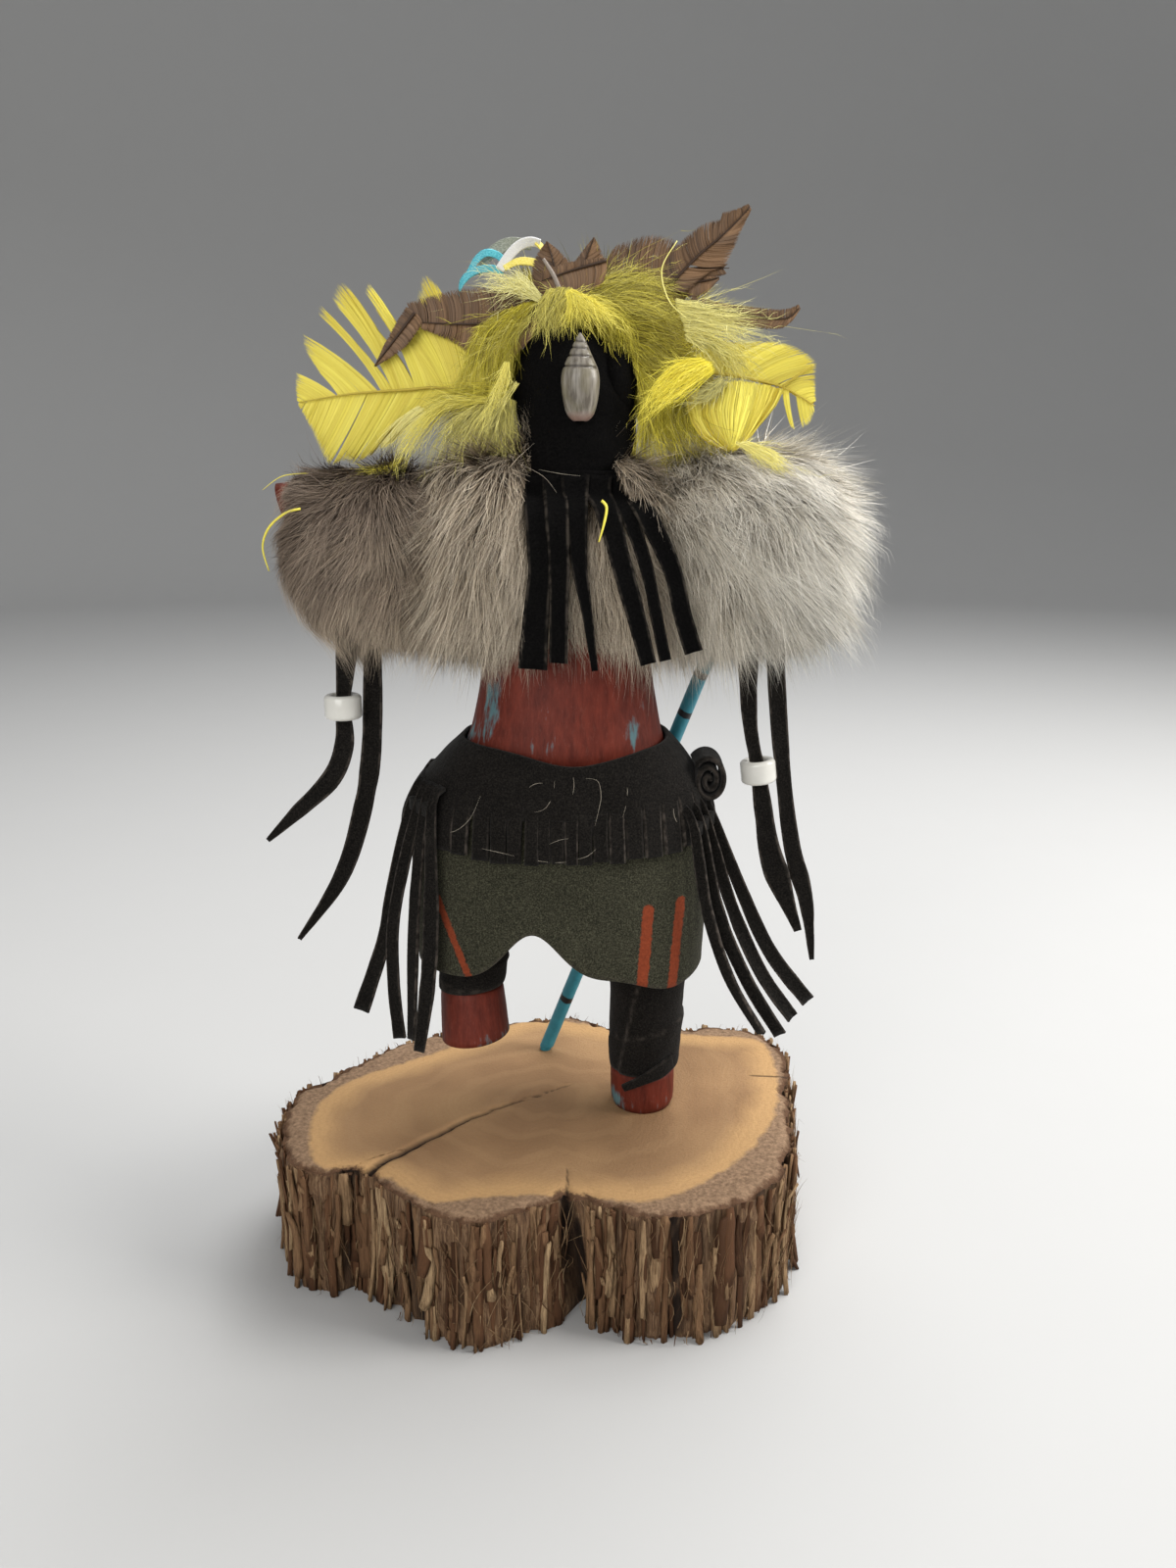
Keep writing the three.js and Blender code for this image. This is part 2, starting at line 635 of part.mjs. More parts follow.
// Three wraps of fur over the arms and the chest, cut where the figure and its gear pass
const cuffTuft = [[-42.6, -1, 148], [18.8, 18.5, 20.6]];
const collarTuft = [[2.5, 0, 148.2], [29.4, 22.6, 24.4]];
const sleeveTuft = [[50.6, 0, 148.6], [25.6, 20, 24.4]];
const collarShape = { squareness: 3.8, depthPower: 3.2, locks: 0.8, seed: 2, around: 14, down: 8 };

function furCuff(grow = 0) {
  return tuft(...cuffTuft, { squareness: 4, locks: 0.9, seed: 1, around: 12, down: 8, grow });
}

function furSleeve(grow = 0) {
  return tuft(...sleeveTuft, { squareness: 2.8, locks: 1, seed: 3, around: 14, down: 9, grow });
}

// The fur parts under the chin, where the fringe starts
const partingSize = 26;
const partingTilt = 0.62;

function chinParting() {
  const size = partingSize;
  const block = new THREE.BoxGeometry(2 * bandHalf + bandWidth, size, size).rotateX(partingTilt);
  const back = chinFront + strapThick + fitGap - (size / 2) / Math.cos(partingTilt);
  return solid(block.translate(bandMiddle, back, chinHeight - 2 * bandWidth + size / 2));
}

function furWraps() {
  const figure = carvedFigure(fitGap);
  const leftTies = tie(ties.tie_left_1, fitGap).add(tie(ties.tie_left_2, fitGap));
  const rightTies = tie(ties.tie_right_1, fitGap).add(tie(ties.tie_right_2, fitGap));
  const head = joined([hoodOuter(fitGap), chinFringe(fitGap), shellBody(fitGap)]);
  const neighbours = joined([figure, head, furCuff(fitGap), furSleeve(fitGap)]);
  return {
    fur_cuff_left: [colours.furDark, furCuff().subtract(figure).subtract(leftTies)],
    fur_collar: [colours.furTan, tuft(...collarTuft, collarShape).subtract(chinParting()).subtract(neighbours)],
    fur_sleeve_right: [colours.furPale, furSleeve().subtract(joined([figure, rightTies, staff(fitGap), head]))],
  };
}

// The down round the head: three tufts behind the hood
const ruffTufts = [
  [[-9.5, 5, neckTop + 19.8], [8.6, 7, 15]],
  [[9, 3, neckTop + 36.3], [19, 8, 6.8]],
  [[31.5, 4, neckTop + 23.8], [11.5, 8, 16.5]],
];

function furs() {
  const collar = tuft(...collarTuft, { ...collarShape, grow: fitGap });
  return joined([furCuff(fitGap), furSleeve(fitGap), collar]);
}

function downRuff() {
  const tufts = ruffTufts.map(([centre, reach], i) => tuft(centre, reach, { around: 9, down: 6, locks: 0.8, seed: 4 + i }));
  return largest(joined(tufts).subtract(hoodOuter(fitGap)).subtract(furs()));
}

// Feathers as thin plates with the outline that shows, by [x, height above the neck] points
const feathers = {
  yellow_feather_left: {
    colour: colours.yellow, depth: -4.2, arch: 1.5,
    outline: [[-9, 16.8], [-13, 24.8], [-24.4, 41.5], [-26, 35.8], [-33.8, 43.1], [-34, 35.8], [-44.9, 43.6],
      [-42, 34.3], [-52.9, 36.2], [-47, 28.8], [-55, 24.8], [-57.3, 20.4], [-54, 12.8], [-49, 7.8], [-35.2, 3.8],
      [-34, 8.3], [-25.4, 5.3]],
  },
  yellow_feather_right: {
    colour: colours.yellow, depth: -7.4, arch: -1.2,
    outline: [[30, 12.8], [45.4, 5.6], [58.6, 13.8], [62, 11.2], [66.4, 11.8], [67, 22.8], [64.5, 27.4], [55, 31.2],
      [44, 30], [34, 23.8]],
  },
  brown_feather_1: {
    colour: colours.brown, depth: -6, arch: 1.4,
    outline: [[-9.5, 37.8], [-14.4, 42.3], [-28.7, 39], [-28.4, 35], [-36.5, 25.1], [-28.2, 29.2], [-12.6, 24.5]],
  },
  brown_feather_2: {
    colour: colours.brown, depth: -6.6, arch: 0.6,
    outline: [[-2, 39.8], [1.8, 44.8], [3.9, 50.6], [9.5, 45.3], [8, 38.8]],
  },
  brown_feather_3: {
    colour: colours.brown, depth: -8.4, arch: 0.8,
    outline: [[3, 38.8], [7.4, 44.4], [13.8, 51.5], [16.4, 47.2], [12.3, 38.8]],
  },
  brown_feather_4: {
    colour: colours.brown, depth: -4, arch: 1,
    outline: [[15, 41.3], [17.2, 50.8], [25.6, 53.3], [34.5, 51.9], [33, 42.3], [24, 39.8]],
  },
  brown_feather_5: {
    colour: colours.brown, depth: -7, arch: 1.4,
    outline: [[29.5, 39.3], [33.5, 52.4], [40, 55.2], [45.5, 58.7], [48.8, 59.2], [49.9, 58.1], [47, 52.4],
      [44.7, 47.6], [37, 44.3]],
  },
  brown_feather_6: {
    colour: colours.brown, depth: -9.4, arch: 1.6,
    outline: [[31, 36.2], [37.3, 38.7], [52.5, 36.6], [60.3, 37.8], [56.6, 32.4], [48.1, 34], [38, 33.8]],
  },
};

// Ribbon loops behind the crown, their heights above the neck
const ribbons = {
  ribbon_turquoise: {
    colour: colours.turquoise, across: [0.1, 0, 1], widths: [5, 7.5, 8.5, 7.5, 5],
    route: [[-7.6, 7, 45.8], [-13, 5, 47.4], [-17.4, 8.5, 47.8], [-13, 12, 47.8], [-8, 11, 46.8]],
  },
  ribbon_white: {
    colour: colours.white, across: [0.7, 0.7, 0.2], widths: [3, 3.4, 3.4, 3],
    route: [[-8, 3, 43.8], [-5.6, 3, 49.2], [-1, 3, 52.4], [3.4, 3, 52.2]],
  },
  ribbon_yellow: {
    colour: colours.yellow, across: [0, 1, 0.6], widths: [3, 3, 2.6],
    route: [[-9, -1, 44.4], [-4, -1, 46.4], [0.8, -1, 46.8]],
  },
};

function build() {
  const whole = new THREE.Group();
  const dancer = new THREE.Group();
  dancer.position.z = sliceThick;
  whole.add(mesh('trunk_slice', colours.wood, 0.8, trunkSlice()), dancer);
  const add = (name, colour, roughness, body) => dancer.add(mesh(name, colour, roughness, body));
  add('carved_figure', colours.paint, 0.7, carvedFigure());
  add('suede_hood', colours.suede, 0.95, suedeHood());
  add('chin_fringe', colours.suede, 0.95, chinFringe());
  add('olive_shell', colours.shell, 0.35, oliveShell());
  add('kilt', colours.kilt, 0.95, kilt());
  add('fringed_belt', colours.suede, 0.95, fringedBelt());
  add('hip_fringe_left', colours.suede, 0.95, hipFringe(leftFringe));
  add('hip_fringe_right', colours.suede, 0.95, hipFringe(rightFringe));
  add('legging_standing', colours.suede, 0.95, standingLegging());
  add('legging_raised', colours.suede, 0.95, raisedLegging());
  add('staff', colours.turquoise, 0.45, staff());
  Object.entries(furWraps()).forEach(([name, [colour, body]]) => add(name, colour, 0.9, largest(body)));
  Object.entries(ties).forEach(([name, sizes]) => add(name, colours.suede, 0.95, tie(sizes)));
  Object.entries(beads).forEach(([name, sizes]) => add(name, colours.white, 0.2, bead(sizes)));
  add('down_ruff', colours.yellow, 0.8, downRuff());
  const fur = furs();
  Object.entries(feathers).forEach(([name, { colour, outline, depth, arch }]) => {
    const raised = outline.map(([x, height]) => [x, neckTop + height]);
    add(name, colour, 0.6, largest(plate(raised, depth, featherThick, arch).subtract(fur)));
  });
  Object.entries(ribbons).forEach(([name, { colour, route, across, widths }]) => {
    const raised = route.map(([x, y, height]) => [x, y, neckTop + height]);
    add(name, colour, 0.5, strip(raised, across, widths, { thick: ribbonThick }));
  });
  return whole;
}

export default build();
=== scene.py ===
import math

import bpy
import numpy as np
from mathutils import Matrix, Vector


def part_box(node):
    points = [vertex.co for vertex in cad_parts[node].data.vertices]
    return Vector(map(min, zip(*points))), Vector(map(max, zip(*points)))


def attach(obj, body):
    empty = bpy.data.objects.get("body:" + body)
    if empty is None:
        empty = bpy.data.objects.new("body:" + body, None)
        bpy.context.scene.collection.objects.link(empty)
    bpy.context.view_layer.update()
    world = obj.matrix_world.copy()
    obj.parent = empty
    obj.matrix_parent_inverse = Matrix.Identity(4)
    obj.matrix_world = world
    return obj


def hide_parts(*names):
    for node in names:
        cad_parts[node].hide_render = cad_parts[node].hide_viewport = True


# Looks of the kachina doll. Lengths are millimetres until a mesh is made, and the doll faces -Y.
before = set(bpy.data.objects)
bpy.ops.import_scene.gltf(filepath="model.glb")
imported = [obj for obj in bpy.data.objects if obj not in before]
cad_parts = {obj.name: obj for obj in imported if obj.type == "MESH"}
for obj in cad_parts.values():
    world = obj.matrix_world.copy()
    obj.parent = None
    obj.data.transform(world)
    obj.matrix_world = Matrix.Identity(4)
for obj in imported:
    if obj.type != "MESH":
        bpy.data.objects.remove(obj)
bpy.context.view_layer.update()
MM = 0.001
slice_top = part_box("trunk_slice")[1].z / MM
rng = np.random.default_rng(20)


# Numbers, noise and curves
def hashed(ix, iy, iz, seed):
    """A repeatable number from 0 to 1 for each whole lattice corner."""
    n = (ix * 73856093) ^ (iy * 19349663) ^ (iz * 83492791) ^ (seed * 2654435761)
    n = (n ^ (n >> 13)) * 1274126177 & 0x7FFFFFFF
    return ((n ^ (n >> 16)) & 0xFFFF) / 65535.0


def noise(points, size, seed=0):
    """Smooth noise from -1 to 1 whose features are about size across, at (N, 3) points."""
    p = np.asarray(points, float) / size + 1000.5
    cell = np.floor(p).astype(np.int64)
    f = p - cell
    f = f * f * (3 - 2 * f)
    total = np.zeros(len(p))
    for corner in range(8):
        dx, dy, dz = corner & 1, corner >> 1 & 1, corner >> 2
        weight = np.where(dx, f[:, 0], 1 - f[:, 0]) * np.where(dy, f[:, 1], 1 - f[:, 1])
        weight = weight * np.where(dz, f[:, 2], 1 - f[:, 2])
        total += weight * hashed(cell[:, 0] + dx, cell[:, 1] + dy, cell[:, 2] + dz, seed)
    return 2 * total - 1


def noise_vectors(points, size, seed=0):
    """Three numbers of smooth noise at each point."""
    return np.stack([noise(points, size, seed + k) for k in (11, 23, 37)], axis=1)


def unit(vectors):
    return vectors / np.maximum(np.linalg.norm(vectors, axis=-1, keepdims=True), 1e-9)


def spline(points, count, closed=False):
    """count points, evenly spaced by length, on a smooth curve through points."""
    p = np.asarray(points, float)
    n = len(p)
    spans = n if closed else n - 1
    dense = []
    for i in range(spans):
        if closed:
            a, b, c, d = p[(i - 1) % n], p[i], p[(i + 1) % n], p[(i + 2) % n]
        else:
            a, b, c, d = p[max(i - 1, 0)], p[i], p[i + 1], p[min(i + 2, n - 1)]
        t = np.linspace(0, 1, 24, endpoint=False)[:, None]
        dense.append(0.5 * (2 * b + (c - a) * t + (2 * a - 5 * b + 4 * c - d) * t**2
                            + (3 * b - 3 * c + d - a) * t**3))
    dense = np.vstack(dense + [p[:1] if closed else p[-1:]])
    length = np.concatenate([[0], np.cumsum(np.linalg.norm(np.diff(dense, axis=0), axis=1))])
    wanted = np.linspace(0, length[-1], count, endpoint=not closed)
    return np.stack([np.interp(wanted, length, dense[:, k]) for k in range(dense.shape[1])], axis=1)


def along(values, shares):
    """Values listed at even shares of a length, read at other shares."""
    return np.interp(shares, np.linspace(0, 1, len(values)), values)


def circle(sides):
    """Angles of the corners of a round outline."""
    return np.linspace(0, 2 * np.pi, sides, endpoint=False)


def level_ring(x, y, z, radius, sides):
    """Points of a level circle."""
    angle = circle(sides)
    return np.stack([x + radius * np.cos(angle), y + radius * np.sin(angle), z + 0 * angle], 1)


def ball(rows, sides):
    """Points of a unit sphere in level rings, short of its two poles."""
    latitude = np.linspace(-np.pi / 2 + 0.05, np.pi / 2 - 0.05, rows)[:, None]
    angle = circle(sides)[None]
    return np.stack([np.cos(angle) * np.cos(latitude), np.sin(angle) * np.cos(latitude),
                     np.sin(latitude) + 0 * angle], -1).reshape(-1, 3)


# Meshes
def grid_faces(rows, columns, wrap=False):
    """Quads of a grid of rows and columns of points, joined round if wrap."""
    r = np.arange(rows - 1)[:, None]
    c = np.arange(columns if wrap else columns - 1)[None, :]
    nxt = (c + 1) % columns
    quads = np.stack([r * columns + c, r * columns + nxt, (r + 1) * columns + nxt, (r + 1) * columns + c], -1)
    return quads.reshape(-1, 4)


def closed_faces(rows, sides):
    """Faces of rings of points whose last ring joins the first, such as a wall with an inside."""
    seam = grid_faces(2, sides, wrap=True)
    seam = np.where(seam < sides, seam + (rows - 1) * sides, seam - sides)
    return [grid_faces(rows, sides, wrap=True), seam]


def swell(rows, amount, across=(1, 1, 1)):
    """Moves the points of rings away from the middle of their ring, each by its own amount."""
    away = unit((rows - rows.mean(1, keepdims=True)) * across)
    return rows + away * amount.reshape(rows.shape[:2])[..., None]


class Build:
    """Points and faces of one piece, with named numbers at each point."""

    def __init__(self):
        self.points, self.faces, self.values, self.normals, self.count = [], [], [], [], 0

    def add(self, points, faces, normals=None, **values):
        """Adds points and faces; points without normals of their own are shaded by their faces."""
        points = np.asarray(points, float).reshape(-1, 3)
        self.points.append(points)
        self.normals.append(np.zeros((len(points), 3)) if normals is None else normals)
        for group in faces:
            if len(group):
                self.faces.append(np.asarray(group, np.int64) + self.count)
        full = {k: np.broadcast_to(np.asarray(v, float).reshape(-1), (len(points),))
                for k, v in values.items()}
        self.values.append(full)
        self.count += len(points)

    def finish(self, name, material, replaces=(), lift=True):
        """Makes the mesh object, dressed and riding on the root. With lift, heights are above the slice."""
        points = np.vstack(self.points)
        if lift:
            points = points + np.array([0, 0, slice_top])
        mesh = bpy.data.meshes.new(name)
        mesh.vertices.add(len(points))
        mesh.vertices.foreach_set("co", (points * MM).astype(np.float32).ravel())
        loops = np.concatenate([f.ravel() for f in self.faces])
        sizes = np.concatenate([np.full(len(f), f.shape[1]) for f in self.faces])
        mesh.loops.add(len(loops))
        mesh.loops.foreach_set("vertex_index", loops.astype(np.int32))
        mesh.polygons.add(len(sizes))
        starts = np.concatenate([[0], np.cumsum(sizes)[:-1]])
        mesh.polygons.foreach_set("loop_start", starts.astype(np.int32))
        mesh.polygons.foreach_set("use_smooth", np.ones(len(sizes), bool))
        mesh.update(calc_edges=True)
        names = sorted(set(k for v in self.values for k in v))
        for key in names:
            data = np.concatenate([v.get(key, np.zeros(len(p))) for v, p in zip(self.values, self.points)])
            mesh.attributes.new(key, "FLOAT", "POINT").data.foreach_set("value", data.astype(np.float32))
        mesh.materials.append(material)
        normals = np.vstack(self.normals)
        if normals.any():
            mesh.normals_split_custom_set_from_vertices(normals)
        piece = bpy.data.objects.new(name, mesh)
        bpy.context.scene.collection.objects.link(piece)
        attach(piece, "root")
        if replaces:
            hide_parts(*replaces)
        return piece


def ring(middle, half_width, front, back, squareness, sides):
    """Points round a level outline at height 0, deeper in front than behind."""
    x, y = np.cos(circle(sides)), np.sin(circle(sides))
    depth = np.where(y < 0, front, back)
    reach = (np.abs(x / half_width) ** squareness + np.abs(y / depth) ** squareness) ** (1 / squareness)
    return np.stack([middle + x / reach, y / reach, np.zeros(sides)], 1)


def level_rows(levels, heights, squareness, sides, grow=0.0):
    """Rings at the heights asked for, between levels of [height, middle, half, front, back]."""
    smooth = spline(levels, 160)
    smooth = smooth[np.argsort(smooth[:, 0])]
    rows = []
    for z in heights:
        middle, half, front, back = (np.interp(z, smooth[:, 0], smooth[:, k]) for k in (1, 2, 3, 4))
        row = ring(middle, half + grow, front + grow, back + grow, squareness, sides)
        row[:, 2] = z
        rows.append(row)
    return np.array(rows)


def capped_tube(build, rows, **values):
    """Adds a closed tube from rings of points, with a middle point in each end."""
    count, sides = rows.shape[:2]
    points = np.vstack([rows.reshape(-1, 3), rows[0].mean(0), rows[-1].mean(0)])
    k = np.arange(sides)
    nxt = (k + 1) % sides
    low, high, last = count * sides, count * sides + 1, (count - 1) * sides
    caps = np.vstack([np.stack([nxt, k, np.full(sides, low)], 1),
                      np.stack([last + k, last + nxt, np.full(sides, high)], 1)])
    build.add(points, [grid_faces(count, sides, wrap=True), caps], **values)


def limb_rows(stations, sides, rows, slant=0.0):
    """Level rings along a limb through [x, y, z, radius] stations, the lowest three on a slant."""
    tilt = slant * np.cos(circle(sides))
    out = []
    for i, (x, y, z, radius) in enumerate(spline(stations, rows)):
        out.append(level_ring(x, y, z + tilt * radius * max(1 - i / 3, 0), radius, sides))
    return np.array(out)


def suede_strip(build, route, widths, thick, across=(1, 0, 0), twist=0.0, cup=0.0, steps=24, seed=0, cut=1.0):
    """A cut strip of suede: rounded in section, a little wavy, with pale cut edges in value 'edge'."""
    path = spline(route, steps)
    share = np.linspace(0, 1, steps)
    tangent = unit(np.gradient(path, axis=0))
    across = np.asarray(across, float)
    side = unit(across - tangent * (tangent @ across)[:, None])
    face = np.cross(tangent, side)
    turn = twist * share + 0.10 * noise(path + seed * 7.7, 14, seed)
    cos, sin = np.cos(turn)[:, None], np.sin(turn)[:, None]
    side, face = side * cos + face * sin, face * cos - side * sin
    width = along(widths, share) * (1 + 0.07 * noise(path + 31, 5, seed + 3))
    flat = [(-1, 0.35, 1), (-0.86, 1, 1), (-0.7, 1, 0), (0, 1, 0), (0.7, 1, 0), (0.86, 1, 1), (1, 0.35, 1)]
    section = flat + [(x, -y, e) for x, y, e in reversed(flat)]
    points, edge = [], []
    for x, y, e in section:
        bend = cup * (x * x - 0.5)
        points.append(path + side * (x * width / 2)[:, None] + face * (y * thick / 2 + bend))
        edge.append(np.full(steps, float(e)))
    rows = np.stack(points, 1)
    edges = np.stack(edge, 1) * np.clip(share * 8, 0.1, 1)[:, None]
    capped_tube(build, rows, edge=cut * np.concatenate([edges.ravel(), [0.0, 1.0]]))


# Materials
class Shader:
    """A Principled material with short calls for the nodes that are used here."""

    def __init__(self, name, roughness=0.8, sheen=0.0, specular=0.5):
        self.material = bpy.data.materials.new(name)
        self.material.use_nodes = True
        self.nodes = self.material.node_tree.nodes
        self.links = self.material.node_tree.links
        self.bsdf = self.nodes["Principled BSDF"]
        self.bsdf.inputs["Roughness"].default_value = roughness
        self.bsdf.inputs["Specular IOR Level"].default_value = specular
        self.bsdf.inputs["Sheen Weight"].default_value = sheen
        self.coords = self.nodes.new("ShaderNodeTexCoord").outputs["Object"]

    def put(self, socket, value):
        if isinstance(value, bpy.types.NodeSocket):
            self.links.new(value, socket)
        else:
            socket.default_value = value

    def colour(self, value):
        self.put(self.bsdf.inputs["Base Color"], value)
        return self

    def value(self, name):
        node = self.nodes.new("ShaderNodeAttribute")
        node.attribute_name = name
        return node.outputs["Fac"]

    def stretched(self, x=1.0, y=1.0, z=1.0):
        node = self.nodes.new("ShaderNodeMapping")
        self.links.new(self.coords, node.inputs["Vector"])
        node.inputs["Scale"].default_value = (x, y, z)
        return node.outputs["Vector"]

    def noise(self, size, detail=3.0, rough=0.55, vector=None, distort=0.0):
        """Noise with features about size millimetres across."""
        node = self.nodes.new("ShaderNodeTexNoise")
        self.links.new(vector or self.coords, node.inputs["Vector"])
        node.inputs["Scale"].default_value = 1 / (size * MM)
        node.inputs["Detail"].default_value = detail
        node.inputs["Roughness"].default_value = rough
        node.inputs["Distortion"].default_value = distort
        return node.outputs["Fac"]

    def ramp(self, value, *stops):
        """Colours or numbers at (place, colour) stops along a value."""
        node = self.nodes.new("ShaderNodeValToRGB")
        self.links.new(value, node.inputs["Fac"])
        elements = node.color_ramp.elements
        while len(elements) < len(stops):
            elements.new(0.5)
        for element, (place, colour) in zip(elements, stops):
            element.position = place
            element.color = (*colour, 1) if isinstance(colour, tuple) else (colour, colour, colour, 1)
        return node.outputs["Color"]

    def mix(self, share, a, b, blend="MIX"):
        node = self.nodes.new("ShaderNodeMix")
        node.data_type = "RGBA"
        node.blend_type = blend
        self.put(node.inputs[0], share)
        for socket, value in ((node.inputs[6], a), (node.inputs[7], b)):
            self.put(socket, (*value, 1) if isinstance(value, tuple) else value)
        return node.outputs[2]

    def maths(self, operation, a, b=0.0, c=0.0, clamp=False):
        node = self.nodes.new("ShaderNodeMath")
        node.operation = operation
        node.use_clamp = clamp
        for socket, value in zip(node.inputs, (a, b, c)):
            self.put(socket, value)
        return node.outputs[0]

    def bump(self, height, depth, strength=1.0):
        """Small relief of the given depth in millimetres."""
        node = self.nodes.new("ShaderNodeBump")
        node.inputs["Distance"].default_value = depth * MM
        node.inputs["Strength"].default_value = strength
        self.links.new(height, node.inputs["Height"])
        last = self.bsdf.inputs["Normal"]
        if last.is_linked:
            self.links.new(last.links[0].from_socket, node.inputs["Normal"])
        self.links.new(node.outputs["Normal"], last)
        return self


def suede_material(name, dark, light, speck=0.0, sheen=0.05, edge_colour=(0.075, 0.062, 0.052),
                   speck_colour=(0.062, 0.054, 0.045)):
    """Napped leather: fine mottling, a soft sheen and paler cut edges."""
    s = Shader(name, roughness=0.95, sheen=sheen, specular=0.06)
    s.bsdf.inputs["Sheen Roughness"].default_value = 0.5
    nap = s.noise(0.55, detail=4, rough=0.7)
    cloud = s.noise(9, detail=2)
    base = s.mix(s.ramp(nap, (0.38, 0.0), (0.68, 1.0)), dark, light)
    base = s.mix(s.ramp(cloud, (0.35, 0.0), (0.7, 0.55)), base, dark)
    edge = s.maths("MULTIPLY", s.value("edge"), s.ramp(s.noise(2.2, detail=2), (0.42, 0.15), (0.62, 1.0)))
    base = s.mix(s.maths("MULTIPLY", edge, 0.8), base, edge_colour)
    if speck:
        dots = s.ramp(s.noise(0.36, detail=3, rough=0.7), (0.46, 0.0), (0.72, speck))
        base = s.mix(dots, base, speck_colour)
    s.colour(base)
    s.bump(nap, 0.16)
    s.bump(s.noise(2.6, detail=2), 0.22)
    return s


def paint_material():
    """Worn red-brown paint over a turquoise coat, brushed down the wood."""
    s = Shader("painted_wood", roughness=0.6, specular=0.2)
    streaks = s.noise(1.6, detail=4, rough=0.65, vector=s.stretched(1, 1, 0.22))
    patch = s.noise(9, detail=3, vector=s.stretched(1, 1, 0.45))
    fine = s.noise(0.5, detail=2, vector=s.stretched(1, 1, 0.3))
    red = s.mix(s.ramp(streaks, (0.3, 0.0), (0.7, 1.0)), (0.075, 0.0115, 0.0065), (0.155, 0.0265, 0.0145))
    red = s.mix(s.ramp(fine, (0.55, 0.0), (0.85, 0.25)), red, (0.22, 0.08, 0.055))
    blue = s.mix(streaks, (0.035, 0.095, 0.115), (0.12, 0.26, 0.28))
    worn = s.maths("ADD", s.maths("MULTIPLY", streaks, 0.75), s.maths("MULTIPLY", patch, 0.5))
    worn = s.maths("ADD", worn, s.maths("MULTIPLY", s.value("wear"), 0.34))
    s.colour(s.mix(s.ramp(worn, (0.82, 0.0), (0.96, 0.85)), red, blue))
    s.bump(streaks, 0.12)
    s.bump(patch, 0.3)
    return s.material


def staff_material():
    """Turquoise paint with a black stripe wound up the stick."""
    s = Shader("painted_stick", roughness=0.45, specular=0.4)
    turns = s.value("turns")
    band = s.maths("PINGPONG", s.maths("ADD", turns, s.maths("MULTIPLY_ADD", s.noise(3), 0.10, -0.05)), 0.5)
    stripe = s.ramp(band, (0.072, 1.0), (0.088, 0.0))
    blue = s.mix(s.noise(2.5, detail=3), (0.016, 0.135, 0.185), (0.045, 0.29, 0.37))
    s.colour(s.mix(stripe, blue, (0.008, 0.009, 0.011)))
    s.bump(s.noise(1.2, detail=3, vector=s.stretched(1, 1, 0.3)), 0.1)
    return s.material


def fur_material(name, dark, light):
    """Hair coloured from root to tip, between a dark and a light coat, each hair a little different."""
    s = Shader(name, roughness=0.55, specular=0.3)
    hair = [s.ramp(s.value("along"), *zip((0.0, 0.35, 0.95), coat)) for coat in (dark, light)]
    tone = s.maths("ADD", s.value("tone"), s.maths("MULTIPLY_ADD", s.value("shade"), 0.5, -0.25), clamp=True)
    shade = s.ramp(s.value("shade"), (0.0, 0.42), (0.55, 0.9), (1.0, 1.0))
    s.colour(s.mix(1.0, s.mix(tone, *hair), shade, "MULTIPLY"))
    return s.material


def feather_material(name, dark, light, quill, pale):
    """Barbs that vary in tone, and a quill."""
    s = Shader(name, roughness=0.5, specular=0.3)
    tone = s.mix(s.value("shade"), dark, light)
    tone = s.mix(s.value("pale"), tone, s.mix(s.value("shade"), tuple(c * 0.45 for c in pale), pale))
    s.colour(s.mix(s.value("quill"), tone, quill))
    return s.material


# Camera, floor and light
CAMERA_PLACE = (12.3, -283.0, 200.0)
CAMERA_TILT = 75.3
LENS = 26.0
FLOOR_COLOUR = (0.47, 0.47, 0.465)
# Lamps: name, place in metres, size, power and colour, all aimed at the middle of the doll
LAMPS = [("top_light", (0.3, 0.35, 1.15), 0.7, 13, (1, 1, 1)),
         ("right_light", (0.95, -0.1, 0.65), 0.5, 12, (1, 0.98, 0.95)),
         ("front_fill", (-0.4, -1.1, 0.6), 0.9, 9.5, (1, 0.985, 0.96))]
AIM = (0, 0, 0.13)
# The backdrop in metres: a round floor that bends up into a wall
FLOOR_RADIUS = 1.9
FLOOR_BEND = 0.9
WALL_HEIGHT = 2.2


